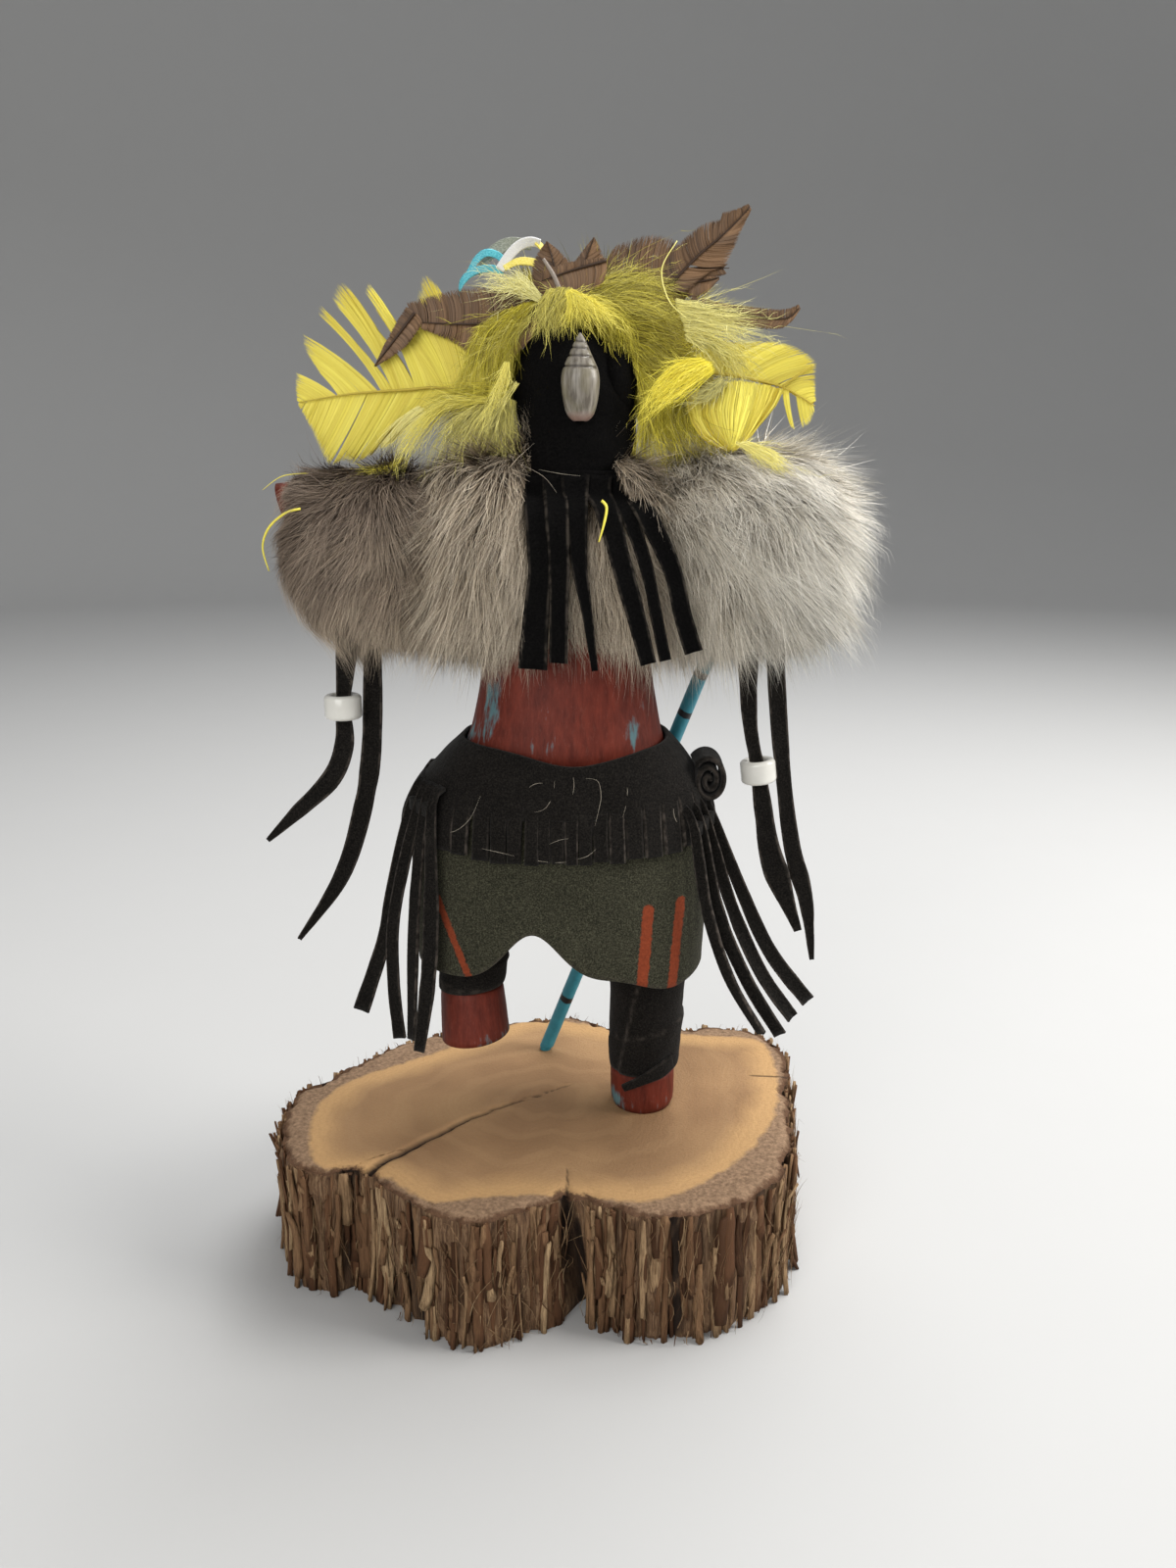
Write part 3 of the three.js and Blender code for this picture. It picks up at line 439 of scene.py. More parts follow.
def stage():
    """The camera, the backdrop and the lights."""
    camera = bpy.data.cameras.new("camera")
    camera.lens = LENS
    camera.clip_start = 0.01
    view = bpy.data.objects.new("camera", camera)
    view.location = [c * MM for c in CAMERA_PLACE]
    view.rotation_euler = (math.radians(CAMERA_TILT), 0, 0)
    bpy.context.scene.collection.objects.link(view)
    bpy.context.scene.camera = view

    sides, bends = 96, 12
    profile = [(FLOOR_RADIUS * share, 0.0) for share in (0.1, 0.4, 0.7, 1)]
    for k in range(1, bends + 1):
        angle = k / bends * math.pi / 2
        profile.append((FLOOR_RADIUS + FLOOR_BEND * math.sin(angle),
                        FLOOR_BEND - FLOOR_BEND * math.cos(angle)))
    profile.append((FLOOR_RADIUS + FLOOR_BEND, WALL_HEIGHT))
    mesh = bpy.data.meshes.new("floor")
    turns = [2 * math.pi * k / sides for k in range(sides)]
    points = [(r * math.cos(a), r * math.sin(a), z) for r, z in profile for a in turns]
    faces = [tuple(int(i) for i in face[::-1]) for face in grid_faces(len(profile), sides, wrap=True)]
    faces.append(tuple(range(sides)))
    mesh.from_pydata(points, [], faces)
    for polygon in mesh.polygons:
        polygon.use_smooth = True
    floor = bpy.data.objects.new("floor", mesh)
    bpy.context.scene.collection.objects.link(floor)
    s = Shader("floor", roughness=0.9, specular=0.1)
    s.colour(s.mix(s.noise(40), tuple(c * 0.985 for c in FLOOR_COLOUR), FLOOR_COLOUR))
    mesh.materials.append(s.material)

    for name, place, size, power, colour in LAMPS:
        light = bpy.data.lights.new(name, "AREA")
        light.energy = power
        light.size = size
        light.color = colour
        lamp = bpy.data.objects.new(name, light)
        lamp.location = place
        lamp.rotation_euler = (Vector(AIM) - Vector(place)).to_track_quat("-Z", "Y").to_euler()
        bpy.context.scene.collection.objects.link(lamp)
    world = bpy.data.worlds.new("soft_room")
    world.use_nodes = True
    background = world.node_tree.nodes["Background"]
    background.inputs["Color"].default_value = (0.97, 0.98, 1.0, 1)
    background.inputs["Strength"].default_value = 0.52
    bpy.context.scene.world = world
    bpy.context.scene.view_settings.view_transform = "Standard"


stage()

# Trunk slice
RIM = [(73, 26), (65, 43), (43, 45), (25, 43), (9, 52), (-13, 49), (-42, 37), (-61, 17),
       (-72, 1), (-67, -27), (-55, -36), (-44, -36), (-30, -49), (-15, -56), (-2, -51), (9, -46),
       (22, -52), (34, -54), (46, -50), (57, -43), (66, -28), (71, 6)]
RIM_SHARE = 0.985
HEARTWOOD = [(-61, -19), (-62, -2), (-54, 12), (-35, 26), (-7, 49), (10, 46), (25, 41), (49, 38),
             (66, 33), (66, 3), (57, -21), (41, -39), (26, -47), (9, -44.5), (-11, -45), (-25, -47),
             (-38, -37), (-49, -35), (-57, -30)]
CHECK = [(-52, -46), (-38, -28), (-27, -17), (-15, -6), (-3, 2), (7, 8)]
SPLIT = [(6.6, -60), (7.2, -50), (7.3, -41), (7.1, -33)]
SIDE_CHECK = [(76, 13), (67, 12.6), (60, 13.4)]


def inside_distance(points, outline):
    """How far each (N, 2) point is inside a closed outline, negative outside."""
    a = outline
    b = np.roll(outline, -1, axis=0)
    edge = b - a
    rel = points[:, None, :] - a[None]
    t = np.clip((rel * edge).sum(-1) / (edge * edge).sum(-1), 0, 1)
    gap = np.linalg.norm(rel - t[..., None] * edge, axis=-1).min(1)
    x, y = points[:, None, 0], points[:, None, 1]
    crosses = (a[None, :, 1] > y) != (b[None, :, 1] > y)
    at = a[None, :, 0] + (y - a[None, :, 1]) / np.where(edge[:, 1] == 0, 1e-9, edge[:, 1]) * edge[:, 0]
    inside = (crosses & (x < at)).sum(1) % 2 == 1
    return np.where(inside, gap, -gap)


def line_distance(points, route):
    """Distance of each (N, 2) point to a route, and the share of the route where it is nearest."""
    a, b = route[:-1], route[1:]
    edge = b - a
    rel = points[:, None, :] - a[None]
    t = np.clip((rel * edge).sum(-1) / (edge * edge).sum(-1), 0, 1)
    gaps = np.linalg.norm(rel - t[..., None] * edge, axis=-1)
    nearest = gaps.argmin(1)
    rows = np.arange(len(points))
    return gaps[rows, nearest], (nearest + t[rows, nearest]) / len(a)


def bark_depth(arc, height, seed=5):
    """How far the bark stands out, in mm, by distance round the slice and height."""
    p = np.stack([arc, height * 0.06, np.zeros_like(arc)], 1)
    q = np.stack([arc, height * 0.16, np.full_like(arc, 9.0)], 1)
    plates = np.clip(noise(p, 7.0, seed) * 3.2 + 0.9, -2.6, 1.1)
    strands = np.abs(noise(q, 2.4, seed + 1)) * -2.1
    fibres = noise(q, 0.9, seed + 2) * 0.5
    return plates + strands + fibres


def rim_line(count):
    """Points round the rim of the slice, the directions out of it and the length of a step."""
    rim = spline(RIM, count, closed=True) * RIM_SHARE
    outward = unit(np.stack([np.gradient(rim[:, 1]), -np.gradient(rim[:, 0])], 1))
    return rim, outward, np.linalg.norm(rim[1] - rim[0])


def split_at(z):
    """Where the split in the front of the bark is, in x, at a height."""
    return 10.6 - 3.4 * z / slice_top


def split_depth(rim, z):
    """How far the split cuts into the bark: deep below, a narrow check at the rim."""
    high = np.clip(z / slice_top, 0, 1) ** 3
    gap = (rim[:, 0] - split_at(z)) / (2.0 - 1.3 * high)
    return (7.5 - 5.3 * high) * np.exp(-gap**2) * (rim[:, 1] < 0)


def with_height(points, height=0.0):
    """(N, 2) points with a third number."""
    return np.column_stack([points, np.zeros(len(points)) + height])


def slice_side(rim, outward, arc):
    """Rings of the bark from the foot of the slice up to its rim, and painted shade: darker where the bark is
    deep and in the split.
    """
    columns = len(rim)
    ends = np.minimum(np.arange(columns), columns - np.arange(columns))
    blend = np.clip(ends / 12, 0, 1)
    rings, light = [], []
    for z in np.linspace(0, slice_top, 18):
        low = np.clip(1 - z / 2.5, 0, 1)
        high = np.clip((z - slice_top + 3) / 3, 0, 1)
        bark = bark_depth(arc, np.full(columns, z))
        out = bark * blend * (1 - 0.45 * high) - 0.9 - 0.8 * low
        out = np.minimum(out, 1.3) - split_depth(rim, z)
        drop = high * (0.8 + 0.8 * noise(np.stack([arc, arc * 0, arc * 0], 1), 3.2, 8)) * blend
        in_split = np.exp(-((rim[:, 0] - split_at(z)) / 2) ** 2) * (rim[:, 1] < 0)
        # Painted shade: the bark is darker where it lies deep and in the split.
        light.append(np.clip(0.62 + 0.30 * bark - 0.7 * in_split, 0, 1))
        rings.append(with_height(rim + outward * out[:, None], z - drop * (z >= slice_top - 0.01)))
    return np.array(rings), np.concatenate(light)


def cut_cracks(top, edge):
    """Sinks the cracks and the crumbled rim into the top; returns the cracks' painted shade and rim
    distances.
    """
    crack = spline(CHECK, 60)
    bends = 0.7 * noise_vectors(with_height(crack), 3, 40)
    bends += 0.35 * noise_vectors(with_height(crack), 1.1, 41)
    crack += bends[:, :2]
    gap, place = line_distance(top[:, :2], crack)
    top[:, 2] -= np.exp(-(gap / (1.35 - 0.9 * place)) ** 2) * (2.4 - 1.6 * place)
    # Painted shade: how dark the inside of the cracks is painted.
    tone = np.exp(-(gap / (1.5 - 1.05 * place)) ** 2) * (1 - 0.35 * place)
    gap, place = line_distance(top[:, :2], np.array(SPLIT, float))
    top[:, 2] -= np.exp(-(gap / (0.8 - 0.4 * place)) ** 2) * (1.6 * (1 - place) ** 1.5 + 0.25)
    tone = np.maximum(tone, np.exp(-(gap / (0.75 - 0.35 * place)) ** 2) * (1 - 0.4 * place))
    gap, _ = line_distance(top[:, :2], np.array(SIDE_CHECK, float))
    top[:, 2] -= 0.5 * np.exp(-(gap / 0.5) ** 2)
    tone = np.maximum(tone, 0.8 * np.exp(-(gap / 0.5) ** 2))
    inset = inside_distance(top[:, :2], edge)
    crumble = noise(with_height(top[:, :2]), 2.6, 60)
    top[:, 2] -= np.clip(1 - inset / 3.4, 0, 1) * np.clip(0.35 + crumble, 0, 1) * 1.6 * (inset > 0.05)
    return tone, inset


def trunk_slice():
    """The slice: its bark, its cut top and a plain underside."""
    columns = 540
    rim, outward, step = rim_line(columns)
    side, light = slice_side(rim, outward, np.arange(columns) * step)
    build = Build()
    # The side's shade value is painted shade for the bark's crevices and the split.
    build.add(side, [grid_faces(len(side), columns, wrap=True)], side=1.0, heart=-20.0, growth=0.0,
              shade=light)

    shares = np.concatenate([[1, 0.992, 0.982, 0.97, 0.955], np.linspace(0.94, 0.03, 32)])
    top = []
    for share in shares:
        row = side[-1][:, :2] * share
        z = slice_top + (side[-1][:, 2] - slice_top) * np.clip((share - 0.97) / 0.03, 0, 1)
        z += 0.12 * noise(with_height(row), 9, 50)
        top.append(with_height(row, z))
    top = np.vstack(top)
    crack_shade, inset = cut_cracks(top, side[-1][::3, :2])
    heart = inside_distance(top[:, :2], spline(HEARTWOOD, 220, closed=True))
    growth = np.repeat(shares, columns) * 60
    k = np.arange(columns)
    last = (len(shares) - 1) * columns
    fan = np.stack([last + k, last + (k + 1) % columns, np.full(columns, len(top))], 1)
    build.add(np.vstack([top, [[0, 0, slice_top - 0.02]]]),
              [grid_faces(len(shares), columns, wrap=True), fan],
              side=0.0, heart=np.append(heart, 20), growth=np.append(growth, 0), rim=np.append(inset, 30),
              crack=np.append(crack_shade, 0))
    under = [with_height(side[0][:, :2] * share) for share in (1, 0.6, 0.05)]
    fan = np.stack([2 * columns + (k + 1) % columns, 2 * columns + k, np.full(columns, 3 * columns)], 1)
    build.add(np.vstack([*under, [[0, 0, 0]]]), [grid_faces(3, columns, wrap=True)[:, ::-1], fan],
              side=0.0, heart=20.0, growth=30.0)
    return build.finish("trunk_slice_wood", slice_material(), ["trunk_slice"], lift=False)


def slice_material():
    """Heartwood with growth rings, a paler rim of sapwood, cracks painted dark as the shade in them, and bark
    at the side with painted shade in its crevices.
    """
    s = Shader("slice_wood", roughness=0.75, specular=0.2)
    rings = s.maths("ADD", s.value("growth"), s.maths("MULTIPLY", s.noise(16, detail=2), 7.0))
    rings = s.maths("ADD", rings, s.maths("MULTIPLY", s.noise(2.0, detail=2), 0.5))
    fine = s.maths("PINGPONG", rings, 0.9)
    wave = s.maths("SINE", s.maths("MULTIPLY", rings, 0.55))
    cloud = s.noise(26, detail=2, rough=0.4)
    inner = s.mix(s.ramp(cloud, (0.36, 0.0), (0.64, 1.0)), (0.255, 0.148, 0.074), (0.36, 0.218, 0.108))
    inner = s.mix(s.ramp(wave, (0.3, 0.0), (0.9, 0.22)), inner, (0.41, 0.258, 0.13))
    edge = s.maths("ADD", s.value("heart"), s.maths("MULTIPLY_ADD", s.noise(12, detail=2), 7.0, -3.5))
    heart = s.mix(s.ramp(s.maths("MULTIPLY", edge, 0.08), (0.30, 1.0), (0.82, 0.0)), inner,
                  (0.50, 0.305, 0.137))
    heart = s.mix(s.ramp(fine, (0.0, 0.16), (0.5, 0.0)), heart, (0.33, 0.18, 0.08))
    grain = s.ramp(s.noise(0.6, detail=3, rough=0.7), (0.35, 0.22), (0.6, 0.0))
    heart = s.mix(grain, heart, (0.25, 0.14, 0.07))
    sap = s.mix(s.ramp(s.noise(1.1, detail=4, rough=0.7), (0.3, 0.0), (0.7, 1.0)), (0.13, 0.078, 0.045),
                (0.36, 0.235, 0.145))
    limit = s.maths("ADD", s.value("heart"), s.maths("MULTIPLY_ADD", s.noise(3.5, detail=3), 3.0, -1.5))
    limit = s.maths("MULTIPLY_ADD", limit, 0.75, 0.3, clamp=True)
    top = s.mix(limit, sap, heart)
    torn = s.maths("MULTIPLY_ADD", s.noise(1.6, detail=4, rough=0.7), 3.4, -1.7)
    ragged = s.maths("ADD", s.value("rim"), torn)
    rim = s.ramp(s.maths("MULTIPLY", ragged, 0.25), (0.22, 1.0), (0.5, 0.0))
    top = s.mix(rim, top, s.mix(s.noise(1.0, detail=3), (0.045, 0.021, 0.011), (0.16, 0.085, 0.045)))
    # Painted shade: the cracks are painted nearly black inside.
    top = s.mix(s.ramp(s.value("crack"), (0.25, 0.0), (0.75, 1.0)), top, (0.022, 0.012, 0.007))
    fibres = s.noise(0.7, detail=4, rough=0.75, vector=s.stretched(1, 1, 0.07))
    bark = s.ramp(fibres, (0.30, (0.035, 0.018, 0.010)), (0.5, (0.13, 0.072, 0.038)),
                  (0.72, (0.30, 0.195, 0.108)))
    # Painted shade: the bark goes nearly black where it lies deep and in the split.
    bark = s.mix(s.ramp(s.value("shade"), (0.1, 0.94), (0.6, 0.0)), bark, (0.012, 0.007, 0.005))
    s.colour(s.mix(s.value("side"), top, bark))
    s.bump(fine, 0.03)
    s.bump(s.noise(0.6, detail=3), 0.08)
    s.bump(fibres, 0.4)
    return s.material


def bark_material():
    """Fibrous strips, from nearly black to straw."""
    s = Shader("bark_strips", roughness=0.85, specular=0.12)
    fibres = s.noise(0.42, detail=4, rough=0.75, vector=s.stretched(1, 1, 0.06))
    tone = s.ramp(s.value("shade"), (0.0, (0.040, 0.018, 0.009)), (0.3, (0.115, 0.053, 0.026)),
                  (0.62, (0.255, 0.150, 0.078)), (1.0, (0.44, 0.305, 0.17)))
    s.colour(s.mix(s.ramp(fibres, (0.32, 0.85), (0.62, 0.0)), tone, (0.075, 0.038, 0.020)))
    s.bump(fibres, 0.3)
    return s.material


# Places on the rim, by x and y, where dark gaps part the bark
GAPS = np.array([(-55, -36), (-31, -48), (-2, -51), (48, -49), (57, -43), (63, -33), (-64, -29), (72, -6),
                 (24, -52.6), (-42, -38), (-48, -42), (-23, -53), (35, -51.5), (-67, -20), (68, -22),
                 (53, -46.5), (-36, -43), (41, -50.4)], float)
FRAYED = np.array([(-16, -56), (-6, -53), (14, -49), (60, -38), (-70, -16)], float)


def bark_strips(count=900, hairs=1500, segments=6):
    """Shaggy bark: plates that peel in flat strips, with loose fibres, all round the slice."""
    rim, outward, step = rim_line(1400)
    gap = np.linalg.norm(rim[:, None] - GAPS[None], axis=-1).min(1)
    frayed = np.exp(-(np.linalg.norm(rim[:, None] - FRAYED[None], axis=-1).min(1) / 7) ** 2)
    build = Build()
    for _ in range(count):
        at = rng.integers(len(rim))
        base = bark_depth(np.array([at * step]), np.array([slice_top / 2]))[0]
        width = rng.uniform(0.9, 4.6) * (1 - 0.45 * frayed[at])
        in_split = rim[at, 1] < 0 and abs(rim[at, 0] - split_at(slice_top * 0.4)) < 1.9 + width / 2
        if in_split or gap[at] < 0.8 + width / 3 or base < -1.7:
            continue
        length = rng.uniform(12, 38)
        low = max(rng.uniform(-16, slice_top - 0.55 * length), 0.15)
        high = min(low + length, slice_top - rng.uniform(0.2, 1.6) - (rng.random() < 0.3) * rng.uniform(0, 6))
        if high - low < 5:
            continue
        out = np.clip(base, -1.4, 1.0) + rng.uniform(-1.5, -0.35)
        t = np.linspace(0, 1, segments)
        z = low + (high - low) * t
        lean = rng.normal(0, 0.035) * (z - z.mean()) + rng.normal(0, 0.3) * np.sin(3 * t + rng.uniform(0, 6))
        curl_low = abs(rng.normal(0, 0.9)) * (1 - t) ** 3
        curl_high = abs(rng.normal(0, 0.45 + 0.8 * frayed[at])) * t**4
        normal = outward[at]
        side = np.array([-normal[1], normal[0]])
        reach = out + curl_low + curl_high + 0.15 * rng.normal(size=segments)
        middle = rim[at] + normal * reach[:, None] + side * lean[:, None]
        half = 0.5 * width * (0.8 + 0.2 * np.sin(np.pi * t) - 0.3 * t**6)
        half = half * (1 + 0.13 * rng.normal(size=segments))
        depth = rng.uniform(0.2, 0.7)
        rows = []
        for x, y in ((-1, -0.4), (-0.55, 0.8), (0.1, 1), (0.6, 0.75), (1, -0.4)):
            line = middle + side * (half * x)[:, None] + normal * depth * y
            rows.append(with_height(line, z + rng.normal(0, 0.25, segments)))
        rows = np.stack(rows, 1)
        rows[:, :, 2] = np.clip(rows[:, :, 2], 0.1, slice_top + 0.3)
        # Strips that sit deeper in the bark are painted a little darker, as shade.
        shade = np.clip(rng.beta(1.4, 1.3) + 0.14 * base - 0.3 * frayed[at] * rng.random(), 0, 1)
        capped_tube(build, rows, shade=shade)
    for _ in range(hairs):
        at = rng.integers(len(rim))
        if rim[at, 1] < 0 and abs(rim[at, 0] - 9) < 2 and rng.random() < 0.85:
            continue
        normal = outward[at]
        side = np.array([-normal[1], normal[0]])
        low = rng.uniform(0.5, slice_top - 6)
        length = rng.uniform(4, 16)
        t = np.linspace(0, 1, 5)
        z = np.clip(low + length * t * rng.choice([1, 1, -0.6]), 0.3, slice_top + 0.2)
        reach = rng.uniform(-0.5, 0.8) + abs(rng.normal(0, 1.0)) * t**2
        lean = rng.normal(0, 0.16 + 0.3 * frayed[at]) * length * t + rng.normal(0, 0.6) * np.sin(4 * t)
        middle = rim[at] + normal * reach[:, None] + side * lean[:, None]
        thin = rng.uniform(0.07, 0.2) * (1.05 - t)
        rows = [with_height(middle + way * thin[:, None], z) for way in (-side, normal * 1.2, side)]
        capped_tube(build, np.stack(rows, 1), shade=rng.uniform(0.25, 1))
    return build.finish("bark_strips", bark_material(), lift=False)


# Carved figure
TORSO = [[64, 5, 22, 12, 9], [70, 5, 30, 16, 11.5], [80, 5, 34.5, 18.5, 12.5], [88, 5, 34.5, 19, 13],
         [94, 5.4, 31.5, 19, 14], [99, 6, 28, 19.6, 16.5], [104, 6.6, 24.8, 20.6, 19],
         [112, 6.9, 22.8, 19.6, 18.6], [122, 7, 21.1, 18.2, 17.5], [140, 7.2, 19, 16, 15.5],
         [154, 7.8, 16, 13.5, 13], [163, 8.6, 10.6, 10.4, 10], [167, 8.8, 9.6, 9.6, 9.4]]
STANDING = (27.3, 0)
RAISED = (-17.5, -8.6)
ANKLE = 12
KNEE = 39
FOOT = 8.7
RAISED_FOOT = 8.9
ARM = 5
# Arms: from inside the body to the cut end, and the slant of that end
ARMS = [((4, 0, 160), (-61.2, -2, 161.2), -0.25), ((13, 0, 159), (62, 2, 157), 0)]
# Worn places on the front of the body: x, height, half width, half height, strength
WORN = [(-10.8, 116, 2.6, 6.5, 1.3), (-1.7, 105.5, 1.6, 3.6, 0.9), (3.2, 105.5, 1.8, 4.5, 1.0),
        (23.2, 108, 2.4, 5.5, 1.0), (1.6, 117, 1.5, 4, 0.6), (-13, 107, 2, 5, 0.7)]


def figure_wear(points):
    """More of the under coat shows at the foot ends, down the left side and over the belt."""
    x, y, z = points[:, 0], points[:, 1], points[:, 2]
    worn = 0.9 * np.clip(1 - np.abs(z - 3) / 8, 0, 1) * (z < 14) * np.clip((31 - x) / 9, 0.35, 1)
    worn = worn + 0.8 * np.clip(1 - (x + 19) / 7, 0, 1) * np.clip((135 - z) / 20, 0, 1) * (z > 95)
    spots = sum(np.exp(-((x - at) / wide) ** 2 - ((z - height) / tall) ** 2) * share
                for at, height, wide, tall, share in WORN)
    worn = worn + np.exp(-((y + 16) / 9) ** 2) * spots
    worn = worn + 0.9 * np.exp(-((z - 25) / 3.5) ** 2) * np.clip((x + 19) / 9, 0, 1) * (z > 20) * (z < 40)
    return np.clip(worn, 0, 1.3)


def carved_figure():
    """Torso, legs, arms and head in worn paint, as one piece."""
    build = Build()

    def part(rows):
        wear = figure_wear(rows.reshape(-1, 3))
        capped_tube(build, rows, wear=np.concatenate([wear, wear[:1], wear[-1:]]))

    part(level_rows(TORSO, np.linspace(64, 167, 56), 2.2, 80))
    x, y = STANDING
    shin = FOOT - 0.8
    leg = [[x, y, 0.1, FOOT - 0.8], [x, y, 1.2, FOOT - 0.25], [x, y, 5, FOOT],
           [x, y, ANKLE - 0.3, FOOT - 0.1], [x + 0.3, y, ANKLE + 0.6, shin - 0.5], [x + 1, y, 36, shin],
           [x - 1, y, 60, shin + 0.8], [x - 5, y + 0.5, 80, shin + 2]]
    part(limb_rows(leg, 48, 44))
    x, y = RAISED
    leg = [[x, y, 24.8, RAISED_FOOT - 0.5], [x, y, 25.4, RAISED_FOOT],
           [x - 0.7, y + 0.8, KNEE - 0.3, RAISED_FOOT - 0.8], [x - 0.7, y + 1.2, KNEE + 0.6, RAISED_FOOT - 2],
           [x + 1, y + 3.5, 58, RAISED_FOOT - 1.3], [x + 4, y + 6.5, 80, RAISED_FOOT]]
    part(limb_rows(leg, 48, 44, slant=0.18))
    for start, end, slant in ARMS:
        rows = []
        for share in np.linspace(0, 1, 20):
            radius = ARM - (0.35 if share == 1 else 0)
            middle = np.array(start) * (1 - share) + np.array(end) * share
            deep, high, _ = level_ring(0, 0, 0, radius, 40).T
            rows.append(middle + np.column_stack([share * slant * high, deep, high]))
        rows = np.array(rows)
        part(rows if end[0] < start[0] else rows[:, ::-1])
    part(hood_rows(-1.75))
    return build.finish("painted_figure", paint_material(), ["carved_figure"])


# Suede hood
HEAD = [[166.5, 8.8, 12.6, 14.6, 12.6], [168, 8.8, 12.9, 14.9, 12.8], [175, 9, 13.25, 15.35, 13.25],
        [184, 8.9, 12.7, 14.85, 13.25], [190, 8, 11.1, 13.4, 12.4], [195, 7.2, 8.6, 10.5, 10.1],
        [197.6, 7, 5.6, 7, 6.8], [198.8, 7, 2.6, 3.2, 3.2], [199.1, 7, 0.4, 0.5, 0.5]]
HOOD_OUT = 1.6
EAR_FOLD = np.array([18.9, -3, 188.2])
EAR_FOLD_REACH = np.array([4.6, 9, 8.6])


def hood_rows(grow=0.0):
    """Rings of the hood, or of the head inside it with a negative grow."""
    heights = np.concatenate([np.linspace(166.5, 190, 26),
                              190 + 9.1 * np.sin(np.linspace(0.12, 1, 16) * np.pi / 2)])
    rows = level_rows(HEAD, heights, 2.15, 72, HOOD_OUT + grow)
    rows[:, :, 2] += np.where(heights > 190, (HOOD_OUT + grow) * (heights - 190) / 9.1, 0)[:, None]
    return rows


def suede_hood():
    build = Build()
    rows = hood_rows()
    flat = rows.reshape(-1, 3)
    capped_tube(build, swell(rows, 0.35 * noise(flat, 12, 3) + 0.14 * noise(flat, 4, 4)), edge=0.0)
    fold = ball(22, 36)
    fold[:, 0] += 0.12 * noise(fold * 3, 1, 6) * np.hypot(fold[:, 0], fold[:, 1])
    capped_tube(build, (EAR_FOLD + fold * EAR_FOLD_REACH).reshape(22, 36, 3))
    return build.finish("black_hood", deep_suede, ["suede_hood"])


# Fringe under the chin
CHIN_FRONT = -17.35
CHIN_STRIPS = [(0.2, 1.5, -0.4, 124.6, (5.0, 5.0, 5.6, 6.6)), (5, 5.9, 5.6, 126.1, (6.4, 5.0, 4.2, 4.2)),
               (9.4, 10.4, 13.9, 124.2, (6.4, 4.4, 2.6, 1.5)), (14.6, 20, 26.1, 125.9, (6.6, 5, 4.4, 3.8)),
               (18.6, 25.4, 30, 126.6, (5.6, 3.4, 2.8, 2.8)), (21.4, 31, 36.4, 128.6, (5, 4.6, 3.9, 4.2))]


def chin_fringe():
    build = Build()
    shares = np.linspace(-1, 1, 9)
    band = [(9 + 13.4 * s, CHIN_FRONT + 1.0 + 7.5 * abs(s) ** 3, 165.2) for s in shares]
    suede_strip(build, band, (6.6, 7, 6.6), 1.3, across=(0, 0, 1), steps=30, seed=2, cut=0.0)
    for i, (top, mid, low, end, widths) in enumerate(CHIN_STRIPS):
        curve = 4.5 * ((top - 9) / 14.4) ** 2
        lift = 0.7 * (i % 2)
        route = [(top, CHIN_FRONT + curve + 0.1, 167.6), (top, CHIN_FRONT + curve - 0.9, 163.6),
                 (top + 0.4 * (mid - top), -23.4 - lift, 159), (mid, -25 - lift, 147.5),
                 ((mid + low) / 2, -25.4 - lift, 137), (low, -25 - lift, end)]
        suede_strip(build, route, widths, 1.2, twist=rng.normal(0, 0.12), cup=rng.uniform(0.1, 0.5), steps=34,
                    seed=10 + i)
    return build.finish("black_chin_fringe", deep_suede, ["chin_fringe"])


# Olive shell
SHELL_LENGTH = 18.6
SHELL_HALF = 4.3
SUTURES = (0.625, 0.745, 0.835, 0.91)


def olive_shell():
    """A lathe with a stepped spire, a little flattened front to back."""
    foot = np.array([10.6, CHIN_FRONT + 0.1, 179.2])
    profile = spline([(0.02, 0.05), (0.30, 0.0), (0.55, 0.035), (0.76, 0.11), (0.93, 0.27), (1.0, 0.44),
                     (0.97, 0.53), (0.90, 0.60), (0.80, 0.655), (0.62, 0.74), (0.50, 0.80),
                     (0.36, 0.875), (0.2, 0.945), (0.03, 1.0)], 90)
    sides = 64
    turn = circle(sides) / (2 * np.pi) * 0.05 - 0.025
    rows, dark = [], []
    for radius, share in profile:
        step = sum(np.exp(-((share + turn - s) / 0.012) ** 2) for s in SUTURES) * (share > 0.5)
        r = radius * SHELL_HALF * (1 - 0.09 * step) - 0.12 * step
        rows.append(level_ring(0, 0, share * SHELL_LENGTH, r, sides) * [1, 0.86, 1])
        dark.append(step)
    build = Build()
    capped_tube(build, np.array(rows) + foot, suture=np.concatenate([*dark, [0, 0]]),
                share=np.concatenate([np.repeat(profile[:, 1], sides), [0, 1]]))
    s = Shader("shell", roughness=0.38, specular=0.4)
    s.bsdf.inputs["Coat Weight"].default_value = 0.08
    lines = s.noise(0.9, detail=3, vector=s.stretched(1, 1, 0.12))
    cloud = s.noise(3.5, detail=2)
    base = s.mix(s.ramp(lines, (0.35, 0.0), (0.65, 1.0)), (0.10, 0.085, 0.065), (0.27, 0.245, 0.205))
    base = s.mix(s.ramp(cloud, (0.45, 0.0), (0.7, 0.6)), base, (0.17, 0.15, 0.09))
    base = s.mix(s.ramp(s.value("share"), (0.03, 0.6), (0.12, 0.0)), base, (0.33, 0.19, 0.16))
    base = s.mix(s.maths("MULTIPLY", s.value("suture"), 0.9, clamp=True), base, (0.035, 0.026, 0.022))
    s.colour(base)
    return build.finish("grey_shell", s.material, ["olive_shell"])


